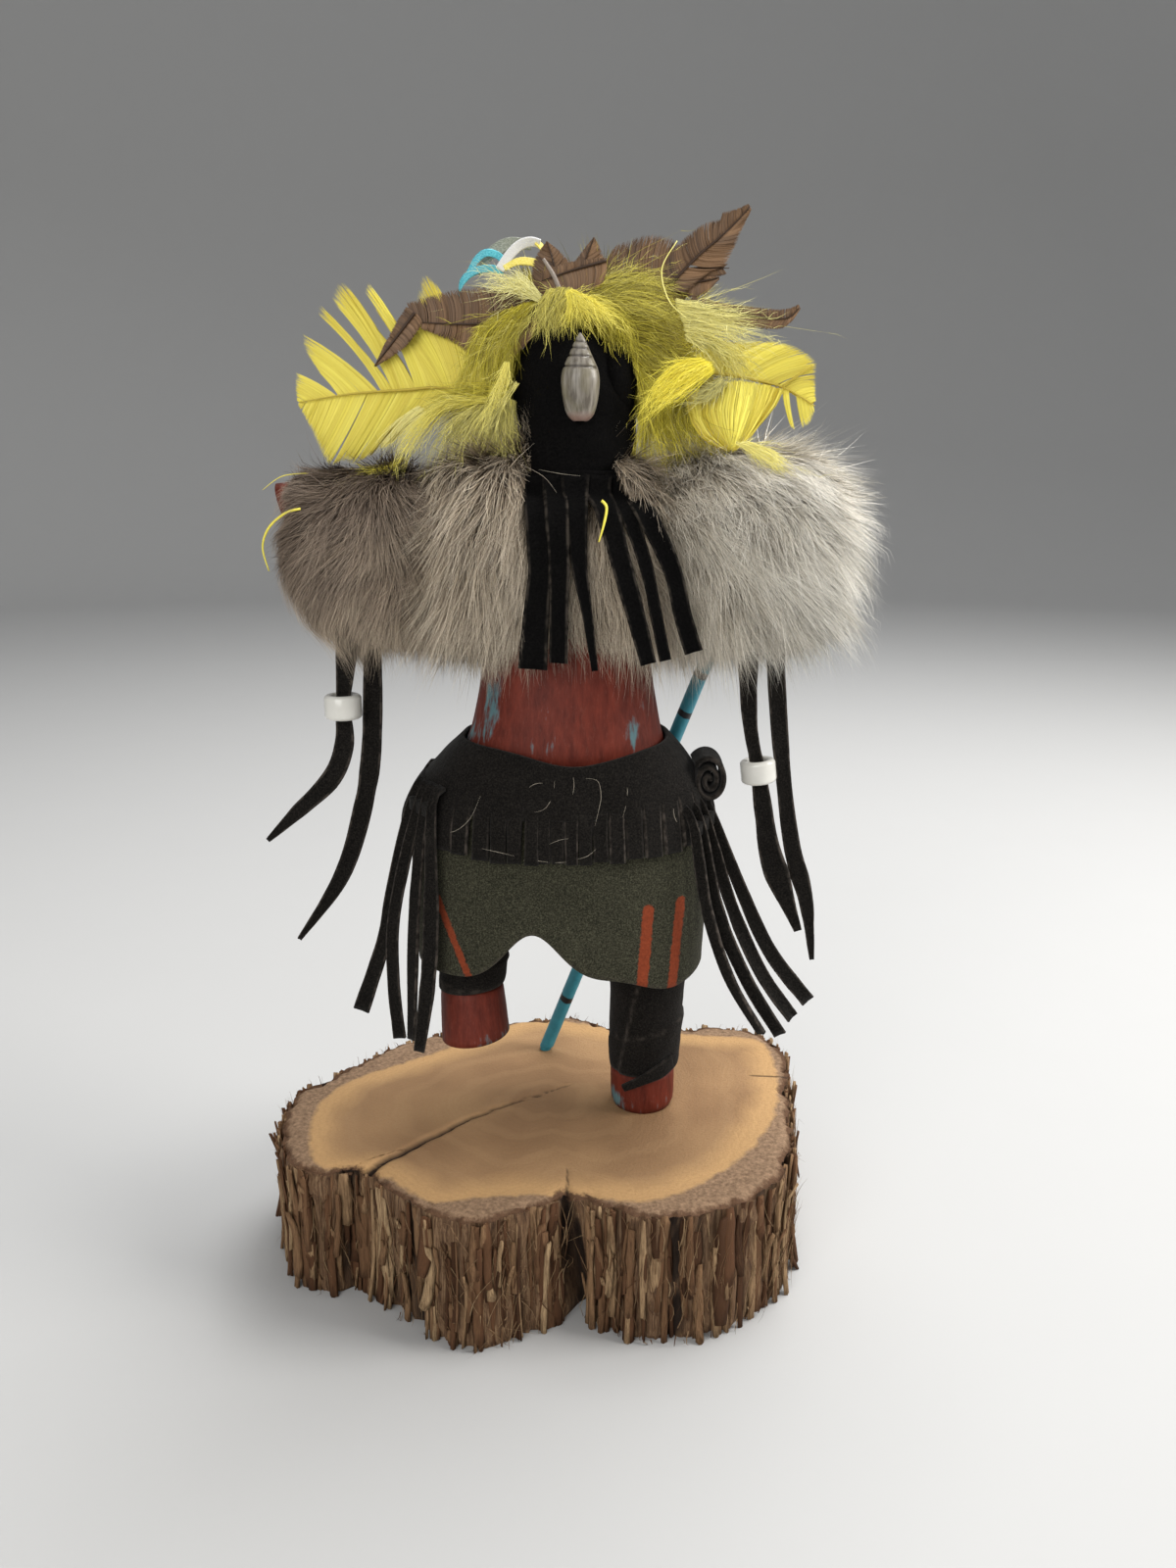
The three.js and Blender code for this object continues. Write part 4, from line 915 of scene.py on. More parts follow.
# Cloth round the hips
def at_heights(base, columns, heights):
    """Points on stacked rings, one for each column at its own height."""
    levels = base[:, 0, 2]
    x, y = (np.array([np.interp(z, levels, base[:, c % base.shape[1], k]) for c, z in zip(columns, heights)])
            for k in (0, 1))
    return np.column_stack([x, y, heights])


def off_hips(points):
    """Directions straight out of the cloth at the hips."""
    return unit(np.column_stack([(points[:, 0] - 5) / 38**2, points[:, 1] / 20**2, points[:, 0] * 0]))


# Kilt
KILT = [[40, 5, 38, 22.6, 16], [66, 5, 38.2, 22.8, 16.2], [84, 5, 38, 22.4, 16], [91, 5.2, 35.4, 21.8, 16.6],
        [96, 5.7, 31.8, 21.4, 17.6], [99.5, 6.2, 29.4, 21.6, 18.6]]
KILT_TOP = 99.5
KILT_THICK = 1.4
# Painted stripes on the front: their two ends in (x, z) and their half width
STRIPES = [((27.2, 64), (25.8, 42), 1.55), ((35.4, 65), (33.6, 42), 1.35), ((-25.5, 66), (-17.6, 46), 1.1)]


def kilt_hem(x, y):
    """Height of the hem, arched over the raised leg in front."""
    front = 1 / (1 + np.exp((y - 1) / 1.2))
    arch = 12.5 * np.exp(-(((x + 1.5) / 9.5) ** 2)) - 3.4 * np.exp(-(((x - 33) / 9) ** 2))
    return 45.5 + front * arch + (1 - front) * 1.5 * np.sin(x / 7)


def kilt():
    sides, count = 220, 38
    base = level_rows(KILT, np.linspace(40, KILT_TOP, 60), 2.5, sides)
    start = kilt_hem(base[5, :, 0], base[5, :, 1])

    def skin(inward):
        rows = []
        for share in np.linspace(0, 1, count):
            p = at_heights(base, range(sides), start + (KILT_TOP - start) * share)
            x, y, z = p.T
            drape = 0.55 * np.sin(x / 4.2 + 0.5 * np.sin(x / 9)) * np.clip((75 - z) / 30, 0, 1)
            drape = drape + 0.5 * noise(p, 17, 60) + 0.18 * noise(p, 6, 61)
            dent = -1.3 * np.exp(-((x - 2) / 8) ** 2 - ((z - 68) / 7) ** 2) * (y < 0)
            rows.append(p + off_hips(p) * (drape + dent - inward)[:, None])
        return np.array(rows)

    outer = skin(0.0)
    inner = skin(KILT_THICK)
    lip = 0.5 * (outer[0] + inner[0]) - [0, 0, 0.35]
    top = 0.5 * (outer[-1] + inner[-1]) + [0, 0, 0.2]
    loop = np.concatenate([outer, top[None], inner[::-1], lip[None]])
    flat = loop.reshape(-1, 3)
    stripe = np.full(len(flat), -9.0)
    for (x0, z0), (x1, z1), half in STRIPES:
        gap, _ = line_distance(flat[:, [0, 2]], np.array([(x0, z0), (x1, z1)], float))
        stripe = np.maximum(stripe, half - gap)
    stripe = np.where(flat[:, 1] < 0, stripe, -9)
    row_edge = np.zeros(len(loop))
    row_edge[[0, len(loop) - 2, len(loop) - 1]] = (0.6, 0.6, 1.0)
    build = Build()
    build.add(flat, closed_faces(len(loop), sides), edge=np.repeat(row_edge, sides), stripe=stripe)
    s = suede_material("kilt_suede", (0.014, 0.0138, 0.0095), (0.044, 0.0425, 0.028), speck=0.75,
                       speck_colour=(0.115, 0.113, 0.072))
    base_colour = s.bsdf.inputs["Base Color"].links[0].from_socket
    ragged = s.maths("ADD", s.value("stripe"), s.maths("MULTIPLY_ADD", s.noise(1.1, detail=3), 1.1, -0.55))
    red = s.mix(s.noise(0.6, detail=3), (0.10, 0.022, 0.010), (0.32, 0.065, 0.026))
    s.colour(s.mix(s.maths("MULTIPLY", ragged, 3.0, clamp=True), base_colour, red))
    return build.finish("olive_kilt", s.material, ["kilt"])


# Fringed belt
BELT = [[76, 5, 38.7, 23.1, 16.7], [80, 5, 38.6, 23, 16.6], [86, 5, 38, 22.6, 16.6],
        [92.5, 5.3, 35.2, 22.2, 17], [97, 5.8, 31.6, 21.8, 18], [100.5, 6.3, 28.8, 21.6, 18.8],
        [104.6, 6.7, 24.8, 20.6, 19]]
BELT_OUT = 1.6
BELT_TOP = 104.6
BELT_THICK = 1.3
BELT_CUTS = 46
BELT_CUT_ABOVE_HEM = 10.5
BELT_CUT_LENGTH = 12.4
BELT_ROLL = (42.4, -6.0, 94.4)


def belt_hem(y):
    """Height at which the fringe of the belt ends, lower in front."""
    return 82.6 - 4.6 * (np.minimum(y, 0) / 22.6) ** 2


def belt_band(build, base):
    """The uncut part of the belt, which dips in front."""
    columns = np.arange(base.shape[1])
    cut_top = belt_hem(base[6, :, 1]) + BELT_CUT_ABOVE_HEM
    dip = 4 * np.exp(-((base[-1, :, 0] - 9.5) / 13) ** 2) * (base[-1, :, 1] < 0)
    outer = []
    for share in np.linspace(0, 1, 16):
        p = at_heights(base, columns, cut_top + (BELT_TOP - dip - cut_top) * share)
        outer.append(p + off_hips(p) * (0.3 * noise(p, 9, 70) + 0.12 * noise(p, 3, 71))[:, None])
    outer = np.array(outer)
    inner = np.array([p - off_hips(p) * BELT_THICK for p in outer])
    lip = 0.5 * (outer[-1] + inner[-1]) + [0, 0, 0.25]
    loop = np.concatenate([outer, lip[None], inner[::-1], 0.5 * (outer[0] + inner[0])[None]])
    edge = np.zeros(len(loop))
    edge[len(outer)] = 0.25
    build.add(loop, closed_faces(len(loop), len(columns)), edge=np.repeat(edge, len(columns)))


def belt_fringe(build, base):
    """The cut strips below the band."""
    def at(column, height):
        return at_heights(base, [column], np.array([height]))[0]

    stations = 7
    for i in range(BELT_CUTS):
        column = int(round((i + 0.5) * base.shape[1] / BELT_CUTS + rng.uniform(-0.6, 0.6)))
        low = belt_hem(at(column, 80.0)[1]) + rng.uniform(-0.5, 0.6)
        path = at_heights(base, [column] * stations, np.linspace(low, low + BELT_CUT_LENGTH, stations))
        lift = rng.uniform(-0.1, 0.55)
        path = path + off_hips(path) * (lift * (1 - np.linspace(0, 1, stations)) - 0.62)[:, None]
        ahead = at(column + 2, 84.0) - at(column - 2, 84.0)
        width = np.linalg.norm(at(column + 3, 82.0) - at(column - 3, 82.0)) * 0.985
        suede_strip(build, path[::-1], (width, width * rng.uniform(0.9, 1.0)), 1.2, across=ahead, steps=10,
                    seed=100 + i, cut=rng.choice([0.15, 0.3, 1.1]))


def fringed_belt():
    """The belt with its fringe, and the rolled end at the right hip."""
    build = Build()
    base = level_rows(BELT, np.linspace(76, BELT_TOP, 40), 2.5, 276, BELT_OUT)
    belt_band(build, base)
    belt_fringe(build, base)
    turns = np.linspace(0, 1, 60)
    angle = np.pi * 0.78 - turns * 2.35 * 2 * np.pi
    radius = 6.1 - 5.4 * turns
    x, y, z = BELT_ROLL
    spiral = np.column_stack([x + 0.72 * radius * np.cos(angle), np.full(60, y), z + radius * np.sin(angle)])
    suede_strip(build, spiral, (12.0, 12.0), 1.3, across=(0, 1, 0), steps=80, seed=90, cut=0.5)
    return build.finish("black_belt", black_suede, ["fringed_belt"])


# Fringes at the hips
LEFT_FRINGE = [([(-31.2, -12, 90), (-36.8, -12, 68.2), (-40.1, -12, 52.3), (-46.8, -12, 33)],
                (3, 3.4, 3.8, 4.4)),
               ([(-29.2, -15, 90), (-36.4, -15, 61.5), (-37.5, -15, 42.7), (-36.6, -15, 26.6)],
                (3, 3.2, 3.2, 3.4)),
               ([(-27.4, -17.6, 90), (-31, -17.6, 62.5), (-33, -17.6, 27.5)], (3, 3.2, 2.6)),
               ([(-25.4, -20.4, 90), (-26.4, -20.4, 63.6), (-27.8, -20.4, 45.2), (-30.8, -20.4, 25.6)],
                (3, 4, 4, 3))]
RIGHT_FRINGE = [([(43.2, -11, 86), (51, -11, 66.6), (59.2, -11, 49.1), (69.7, -11, 35.1)], (3, 3.4, 3.8, 4)),
                ([(41.6, -13.6, 85.5), (48.2, -13.6, 63.6), (56.4, -13.6, 44.8), (65.3, -13.6, 31.6)],
                 (3, 3.4, 3.6, 3.4)),
                ([(40, -16.4, 85), (45, -16.4, 62), (52.8, -16.4, 43.4), (61.9, -16.4, 28.3)],
                 (3, 3.4, 3.4, 3.4)),
                ([(38.2, -19, 84.5), (42, -19, 63), (48.2, -19, 44.6), (56.7, -19, 29.9)], (3, 3.2, 3, 2.6))]


def hip_fringe(name, strips, node, seed):
    build = Build()
    tops = [np.array(route[0]) for route, _ in strips]
    inward = np.array([-np.sign(tops[0][0]), 0, 0])
    knot = [tops[0] + [0, 0, -0.8], tops[-1] + [0, 0, -0.8]]
    suede_strip(build, knot, (3.6, 3.6), 2.0, across=(0, 0, 1), steps=10, seed=seed, cut=0.0)
    for i, (route, widths) in enumerate(strips):
        hidden = tops[i] + 2.6 * inward + [0, 2.2, 4.6]
        suede_strip(build, [hidden, *route], (widths[0] * 0.7, *widths), 1.25, across=(1, -0.25, 0),
                    twist=rng.normal(0, 0.3), cup=rng.uniform(0.1, 0.6), steps=30, seed=seed + i + 1)
    return build.finish(name, black_suede, [node])


# Leg wraps
# Taken off the outer stations of x, y, z and radius to get the inner ones
WRAP_THICK = (0, 0, 0, 1.2)


def leggings():
    """The wrap of the standing leg, with the end of its strip in front, and that of the raised leg."""
    x, y = STANDING
    build = Build()
    stations = [[x, y, ANKLE, 9.1], [x + 0.2, y, 14, 9.45], [x + 0.5, y, 24, 9.6], [x + 1, y, 36, 10],
                [x, y, 49, 10.2]]
    rows = limb_rows(stations, 80, 44)
    flat = rows.reshape(-1, 3)
    angle = np.arctan2(flat[:, 1] - y, flat[:, 0] - x)
    lap = (angle + 1.95) * 10 - (flat[:, 2] - 30) * 0.22
    lip = 0.75 / (1 + np.exp(-lap / 0.18)) * np.exp(-np.clip(lap, 0, None) / 14)
    lap2 = flat[:, 2] - 25 - 2.2 * (angle + 1.2)
    lip2 = 0.6 / (1 + np.exp(lap2 / 0.2)) * np.exp(-np.clip(-lap2, 0, None) / 9) * (np.abs(angle + 1.4) < 1.5)
    rows = swell(rows, lip + lip2 + 0.3 * noise(flat, 7, 80) + 0.12 * noise(flat, 2.5, 81), (1, 1, 0))
    seam = np.exp(-(lap / 0.45) ** 2) * 0.9 + np.exp(-(lap2 / 0.4) ** 2) * 0.6 * (np.abs(angle + 1.4) < 1.3)
    seam = seam + (flat[:, 2] < ANKLE + 0.8) * 0.5
    add_sleeve(build, rows, limb_rows(np.array(stations) - WRAP_THICK, 80, 44), np.clip(seam, 0, 1))
    tail = [(x + 7.6, y - 6.9, 15.6), (x + 4.6, y - 9.6, 14.2), (x - 0.4, y - 11, 12),
            (x - 5.6, y - 10.5, 9.4)]
    suede_strip(build, tail, (5, 4.4, 3, 2), 1.0, across=(0, 0, 1), steps=18, seed=85, cut=0.3)
    build.finish("black_wrap_standing", black_suede, ["legging_standing"])

    x, y = RAISED
    build = Build()
    stations = [[x - 0.7, y + 1.2, KNEE, 8.7], [x - 0.5, y + 1.5, KNEE + 3, 8.85],
                [x, y + 2.6, KNEE + 13, 8.9]]
    rows = limb_rows(stations, 72, 16, slant=0.08)
    flat = rows.reshape(-1, 3)
    fold = flat[:, 2] - KNEE - 6 - 0.12 * (flat[:, 0] - x)
    crease = 0.3 * noise(flat, 6, 82) + 0.5 * np.exp(-(fold / 0.9) ** 2)
    inside = limb_rows(np.array(stations) - WRAP_THICK, 72, 16, slant=0.08)
    add_sleeve(build, swell(rows, crease, (1, 1, 0)), inside, (flat[:, 2] < KNEE + 1.6) * 0.5)
    return build.finish("black_wrap_raised", black_suede, ["legging_raised"])


def add_sleeve(build, outer, inner, edge):
    """A sleeve of cloth between two stacks of rings."""
    loop = np.concatenate([outer, inner[::-1]])
    build.add(loop, closed_faces(*loop.shape[:2]), edge=np.concatenate([edge, np.zeros(inner[..., 0].size)]))


# Staff
STAFF_FOOT = (-0.6, 29.2, 0.1)
STAFF_TOP = (54.9, 14.5, 150)
STAFF_RADIUS = 2.1
# The painted bands, as shares of the staff's length
FIRST_BAND = 0.1205
BAND_STEP = 0.0732


def staff():
    build = Build()
    count, sides = 400, 20
    share = np.linspace(0, 1, count)
    radius = STAFF_RADIUS * np.where(share < 0.006, 0.8, 1)
    middle = np.array(STAFF_FOOT) + np.outer(share, np.array(STAFF_TOP) - np.array(STAFF_FOOT))
    rows = np.stack([level_ring(*place, r, sides) for place, r in zip(middle, radius)])
    turns = (share[:, None] - FIRST_BAND) / BAND_STEP + 0.09 * np.cos(circle(sides) + 0.6)
    capped_tube(build, rows, turns=np.append(np.maximum(turns, -0.45), [0, 0]))
    return build.finish("turquoise_staff", staff_material(), ["staff"])


# Ties and beads
# Each tie's route and its widths along it
TIES = {
    "tie_left_1": ([(-44.6, -12, 136), (-46.2, -12, 122), (-47.2, -12, 113.4), (-47.4, -12, 104),
                    (-51.2, -12, 95.2), (-61, -12, 85.8), (-67.8, -12, 79.4)],
                   (5, 5, 3.3, 4.8, 4.8, 3.6, 1.2)),
    "tie_left_2": ([(-39.6, -9, 136), (-41.2, -9, 104), (-44.8, -9, 85.1), (-51, -9, 68.2),
                    (-62.5, -9, 51.7)], (4.4, 4.6, 4.8, 4.4, 1.2)),
    "tie_right_1": ([(51.4, -4, 134), (52.8, -4, 109.2), (55.5, -4, 95.3), (57.4, -4, 84), (60, -4, 71.6),
                     (67.6, -4, 52)], (5.2, 4.6, 3.3, 4.8, 6.6, 2)),
    "tie_right_2": ([(58, -1, 136), (61.4, -1, 101.6), (65.3, -1, 75.5), (69.9, -1, 59.2), (72.3, -1, 42.5)],
                    (4.6, 4.6, 3.9, 4.8, 1.3)),
}
BEADS = {"bead_left": ((-47.2, -12, 113.4), 0.0), "bead_right": ((55.5, -4, 95.3), -0.12)}


def ties_and_beads():
    for i, (name, (route, widths)) in enumerate(TIES.items()):
        build = Build()
        suede_strip(build, route, widths, 1.2, twist=rng.normal(0, 0.15), cup=rng.uniform(0.1, 0.4),
                    steps=48, seed=40 + i)
        build.finish("black_" + name, black_suede, [name])
    # The white beads are painted light grey, as the shade they hang in.
    s = Shader("bead_plastic", roughness=0.16, specular=0.5)
    s.colour(s.mix(s.noise(3), (0.60, 0.59, 0.545), (0.69, 0.68, 0.63)))
    s.bsdf.inputs["Coat Weight"].default_value = 0.3
    for name, (centre, tilt) in BEADS.items():
        profile = [(2.5, -2.9), (3.4, -3.0)]
        for a in np.linspace(-np.pi / 2, np.pi / 2, 17):
            profile.append((3.4 + 1.1 * np.cos(a), (1.9 if a > 0 else -1.9) + 1.1 * np.sin(a)))
        profile += [(3.4, 3.0), (2.5, 2.9), (2.35, 2.4), (2.3, 0), (2.35, -2.4)]
        x, y, z = np.moveaxis([level_ring(0, 0, height, radius, 48) for radius, height in profile], -1, 0)
        cos, sin = np.cos(tilt), np.sin(tilt)
        build = Build()
        build.add(np.stack([x * cos + z * sin, y, z * cos - x * sin], -1) + np.array(centre),
                  closed_faces(len(profile), 48))
        build.finish("white_" + name, s.material, [name])


# Hair, down and feathers
def ribbons_along(build, middle, normals, widths, taper=1.0, **values):
    """Thin ribbons through (strands, stations, 3) points, narrowing to a tip, facing the normals."""
    count, stations = middle.shape[:2]
    segments = stations - 1
    t = np.linspace(0, 1, stations)
    side = unit(np.cross(unit(np.gradient(middle, axis=1)), normals[:, None]))
    half = 0.5 * np.broadcast_to(widths, (count,))[:, None] * (1 - t**taper)
    left = middle - side * half[..., None]
    right = middle + side * half[..., None]
    points = np.concatenate([left[:, :-1], right[:, :-1], middle[:, -1:]], 1)
    block = 2 * segments + 1
    start = np.arange(count)[:, None, None] * block
    k = np.arange(segments - 1)
    quads = np.stack([k, segments + k, segments + k + 1, k + 1], 1)[None] + start
    tips = np.array([[[segments - 1, 2 * segments - 1, 2 * segments]]]) + start
    full = {key: np.repeat(np.broadcast_to(v, (count,)), block) for key, v in values.items()}
    full["along"] = np.tile(np.concatenate([t[:-1], t[:-1], [1]]), count)
    build.add(points.reshape(-1, 3), [quads.reshape(-1, 4), tips.reshape(-1, 3)],
              normals=np.repeat(normals, block, axis=0), **full)


def strand_paths(root, way, bend, length, stations):
    """(strands, stations, 3) points that leave each root along way and turn towards bend."""
    t = np.linspace(0, 1, stations)[None, :, None]
    return root[:, None] + (way[:, None] * t + bend[:, None] * t * t) * length[:, None, None]


def rod(build, route, radii, steps=24, sides=6, **values):
    """A round stem through a route."""
    path = spline(route, steps)
    radius = along(radii, np.linspace(0, 1, steps))[:, None, None]
    tangent = unit(np.gradient(path, axis=0))
    side = unit(np.cross(tangent, (0.1, -1, 0.2)))
    up = np.cross(tangent, side)
    angle = circle(sides)[None, :, None]
    spokes = np.cos(angle) * side[:, None] + np.sin(angle) * up[:, None]
    capped_tube(build, path[:, None] + radius * spokes, **values)


def tuft_surface(ways, shape, share=1.0, meet=(0, 0)):
    """Points, outward directions and unit places on a rounded box, seen from its centre along ways.

    Less than the full share is drawn in less on top and on the sides where it meets another tuft.
    """
    centre, reach, squareness, depth = (np.array(v, float) for v in shape)
    size = np.abs(ways)
    level = size[:, 0] ** squareness + size[:, 2] ** squareness
    ball = (level ** (depth / squareness) + size[:, 1] ** depth) ** (-1 / depth)
    local = ways * ball[:, None]
    x, y, z = np.abs(local).T
    level = np.maximum(x**squareness + z**squareness, 1e-6) ** (depth / squareness - 1)
    slope = np.stack([level * x ** (squareness - 1), y ** (depth - 1), level * z ** (squareness - 1)], 1)
    normals = unit(np.sign(local) * slope / reach)
    left, right = meet
    fuller = (np.clip(normals[:, 2], 0, 1) + left * np.clip(-local[:, 0], 0, 1)
              + right * np.clip(local[:, 0], 0, 1))
    full = share + (0.99 - share) * np.clip(fuller, 0, 1)
    return centre + local * reach * full[:, None], normals, local


def tuft_skin(build, shape, share, rows=30, sides=56, rough=0.5, seed=0, keep=None, meet=(0, 0), **values):
    """The closed skin under a tuft's hair; the callers paint it dark as the shade deep in the hair."""
    points, normals, _ = tuft_surface(ball(rows, sides), shape, share, meet)
    points = points + normals * (rough * noise(points, 4, seed))[:, None]
    if keep is not None:
        points = keep(points)
    capped_tube(build, points.reshape(rows, sides, 3), **values)


def fur(name, node, material, shape, meet, flow, under, guard, lengths, seed, keep, tone):
    """Hair in locks over a tuft: a dense undercoat and longer guard hairs."""
    build = Build()
    # The skin is painted dark, as the shade deep in the hair.
    tuft_skin(build, shape, 0.82, seed=seed, keep=lambda p: keep(p) + [0, 1.3, 0], meet=meet,
              along=0.02, shade=0.15, tone=0.4)
    for count, (short, long), width, stations, share in ((under, lengths[0], 0.27, 3, 0.84),
                                                         (guard, lengths[1], 0.17, 5, 0.88)):
        ways = unit(rng.normal(size=(count, 3)) + [0, -0.3, 0])
        root, normals, local = tuft_surface(ways, shape, share, meet)
        lock = noise_vectors(root, 5.0, seed) * 0.8 + noise_vectors(root, 13, seed + 5) * 0.6
        hem = np.clip(-local[:, 2] * 1.8 - 0.7, 0, 1)
        stray = (rng.random(count) < 0.10 + 0.25 * hem)[:, None] * rng.normal(0, 0.6, (count, 3))
        comb = flow(local)
        over = np.clip(normals[:, 2:], 0, 1)
        forward = np.where(local[:, 1:2] < 0.3, -1, 1)
        comb = comb + over * np.concatenate([0.5 * local[:, :1], 0.9 * forward, 0 * forward], 1)
        comb = comb - np.minimum((comb * normals).sum(1, keepdims=True), 0) * normals
        way = unit((0.36 - 0.14 * over) * normals + 0.85 * comb + lock * 0.55 + stray
                   + rng.normal(0, 0.10, (count, 3)))
        length = rng.uniform(short, long, count) * (1 + 0.25 * noise(root, 6, seed + 9)) * (1 - 0.45 * hem)
        curl = noise_vectors(root + 50, 6, seed + 13) * 0.38 + rng.normal(0, 0.13, (count, 3))
        curl = curl + [0, 0, -0.28] * (1 - 0.75 * over)
        path = strand_paths(root, way, curl, length, stations)
        shade = np.clip(0.50 + 0.40 * noise(root, 2.6, seed + 17) + rng.normal(0, 0.32, count), 0, 1)
        facing = unit(normals + rng.normal(0, 0.28, (count, 3)))
        ribbons_along(build, keep(path), facing, width * rng.uniform(0.6, 1.2, count), shade=shade,
                      tone=np.clip(tone(root, local) + 0.18 * noise(root, 5, seed + 21), 0, 1))
    return build.finish(name, material, [node])


def behind_fringe(points):
    """Keeps hair behind the hood and the strips that hang from the chin, and inside the doll's width."""
    x, y, z = points[..., 0], points[..., 1], points[..., 2]
    wall = np.interp(z, [118, 147.5, 155, 160, 167], [-24.6, -24.0, -21.4, -16.4, -13])
    open_side = 1 - np.clip(np.minimum(x + 4.4, 41 - 0.76 * np.clip(z - 140, 0, 26) - x) / 2.4, 0, 1)
    open_side = np.where(z > 122, open_side, 1)
    out = points.copy()
    out[..., 1] = np.maximum(y, wall - 40 * open_side)
    out[..., 0] = np.clip(x, -80, 82.5)
    return out


def cuff_line(points):
    """Draws the hair in below the stub of the arm, where the tuft is cut on the slant."""
    out = points.copy()
    x, z = points[..., 0], points[..., 2]
    limit = np.interp(z, [120, 128, 132.4, 144, 153, 158, 168], [-40, -45, -51.5, -58.6, -61, -57.6, -56.4])
    over = np.maximum(limit - x, 0)
    out[..., 0] = x + over * 0.84
    return out


# Furs, as rounded boxes like the tufts of down
CUFF = ((-42.2, -1, 148.3), (19.4, 18.5, 20.8), 5.2, 2.2)
COLLAR = ((2, 0, 148.4), (30.2, 22.6, 24.4), 4.8, 3.2)
SLEEVE = ((50, 0, 149), (26.4, 20, 24.4), 3, 2.2)


def on_belt(x, z, out):
    """A point on the front of the belt."""
    levels = np.array(BELT, float)
    half, front = (np.interp(z, levels[:, 0], levels[:, k]) for k in (2, 3))
    return (x, -(front + BELT_OUT + out) * (1 - (abs(x - 5) / (half + BELT_OUT)) ** 2.5) ** 0.4, z)


# Loose hairs that lie on the belt, then two by the hood
LINT = [[on_belt(x, z, 0.15 + 0.2 * (k % 2)) for k, (x, z) in enumerate(route)] for route in (
    [(-2, 95.7), (-0.4, 96.9), (1.7, 97.2)], [(-0.4, 90.1), (2, 91), (3.9, 94), (4.4, 97.8)],
    [(3, 82.3), (5.6, 83.4), (7.7, 83.7)],
    [(11.8, 98.2), (14.6, 97.6), (15.4, 94), (14.9, 90.8), (13.9, 86.6)],
    [(21.2, 98.5), (21.7, 95), (21.4, 91.6), (20.6, 88.7)], [(33, 90.9), (33.3, 87.6), (35, 84.2)],
    [(8.8, 98.6), (9, 96.6), (8.7, 94.4)], [(-14.1, 80.9), (-10, 80.3), (-5.3, 79.3)],
    [(-3.2, 78.3), (0.2, 78.2), (3, 77.8)], [(4.4, 77.7), (7, 77.9)], [(9.8, 78.6), (12.2, 79.4), (14.2, 81)],
    [(-25, 83.4), (-20, 84.5), (-16, 88), (-13.4, 93.6)])]
LINT += [[(-4.6, -15.8, 170.6), (0, -17.4, 168.6), (3, -18, 166.6), (5.4, -18.6, 163.4)],
         [(1.2, -17.8, 168.8), (6, -18.4, 167.9), (10.6, -18.4, 167.4)]]


def furs():
    """The three wraps of fur, each with its own way of lying and its own tones, and the loose hairs."""
    grey = fur_material("grey_fur", ((0.038, 0.025, 0.018), (0.14, 0.098, 0.072), (0.38, 0.29, 0.22)),
                        ((0.11, 0.08, 0.052), (0.34, 0.26, 0.18), (0.66, 0.55, 0.41)))
    fur("grey_fur_cuff", "fur_cuff_left", grey, CUFF, (0, 1),
        lambda p: unit(np.stack([-0.25 + 0.45 * p[:, 0], 0.12 * p[:, 1], -0.7 + 0.45 * p[:, 2]], 1)),
        22000, 8200, ((6, 10), (9, 15)), 300, cuff_line,
        lambda root, p: 0.42 - 0.52 * p[:, 2] + 0.30 * p[:, 0])
    tan = fur_material("tan_fur", ((0.075, 0.052, 0.034), (0.27, 0.205, 0.14), (0.58, 0.475, 0.355)),
                       ((0.18, 0.135, 0.09), (0.54, 0.44, 0.315), (0.90, 0.80, 0.64)))
    fur("tan_fur_collar", "fur_collar", tan, COLLAR, (1, 1),
        lambda p: unit(np.stack([-0.12 + 0.30 * p[:, 0], 0.1 * p[:, 1], -1 + 0 * p[:, 2]], 1)),
        23000, 8600, ((6, 10), (9, 16)), 330, behind_fringe,
        lambda root, p: 0.70 - 0.34 * np.exp(-((root[:, 0] - 12) / 14) ** 2))
    white = fur_material("white_fur", ((0.13, 0.10, 0.068), (0.43, 0.35, 0.25), (0.82, 0.73, 0.57)),
                         ((0.55, 0.49, 0.39), (0.88, 0.82, 0.70), (0.97, 0.95, 0.88)))
    fur("white_fur_sleeve", "fur_sleeve_right", white, SLEEVE, (1, 0),
        lambda p: unit(np.stack([0.55 + 0.35 * p[:, 0], 0.2 * p[:, 1], -0.8 + 0.1 * p[:, 2]], 1)),
        25000, 9600, ((6, 11), (10, 17)), 360, behind_fringe,
        lambda root, p: 0.66 + 0.62 * p[:, 0] + 0.12 * p[:, 2])
    build = Build()
    for route in LINT:
        rod(build, route, (0.012, 0.036, 0.012), 18, 4, along=0.45, shade=0.6, tone=0.3)
    build.finish("loose_hairs", white)


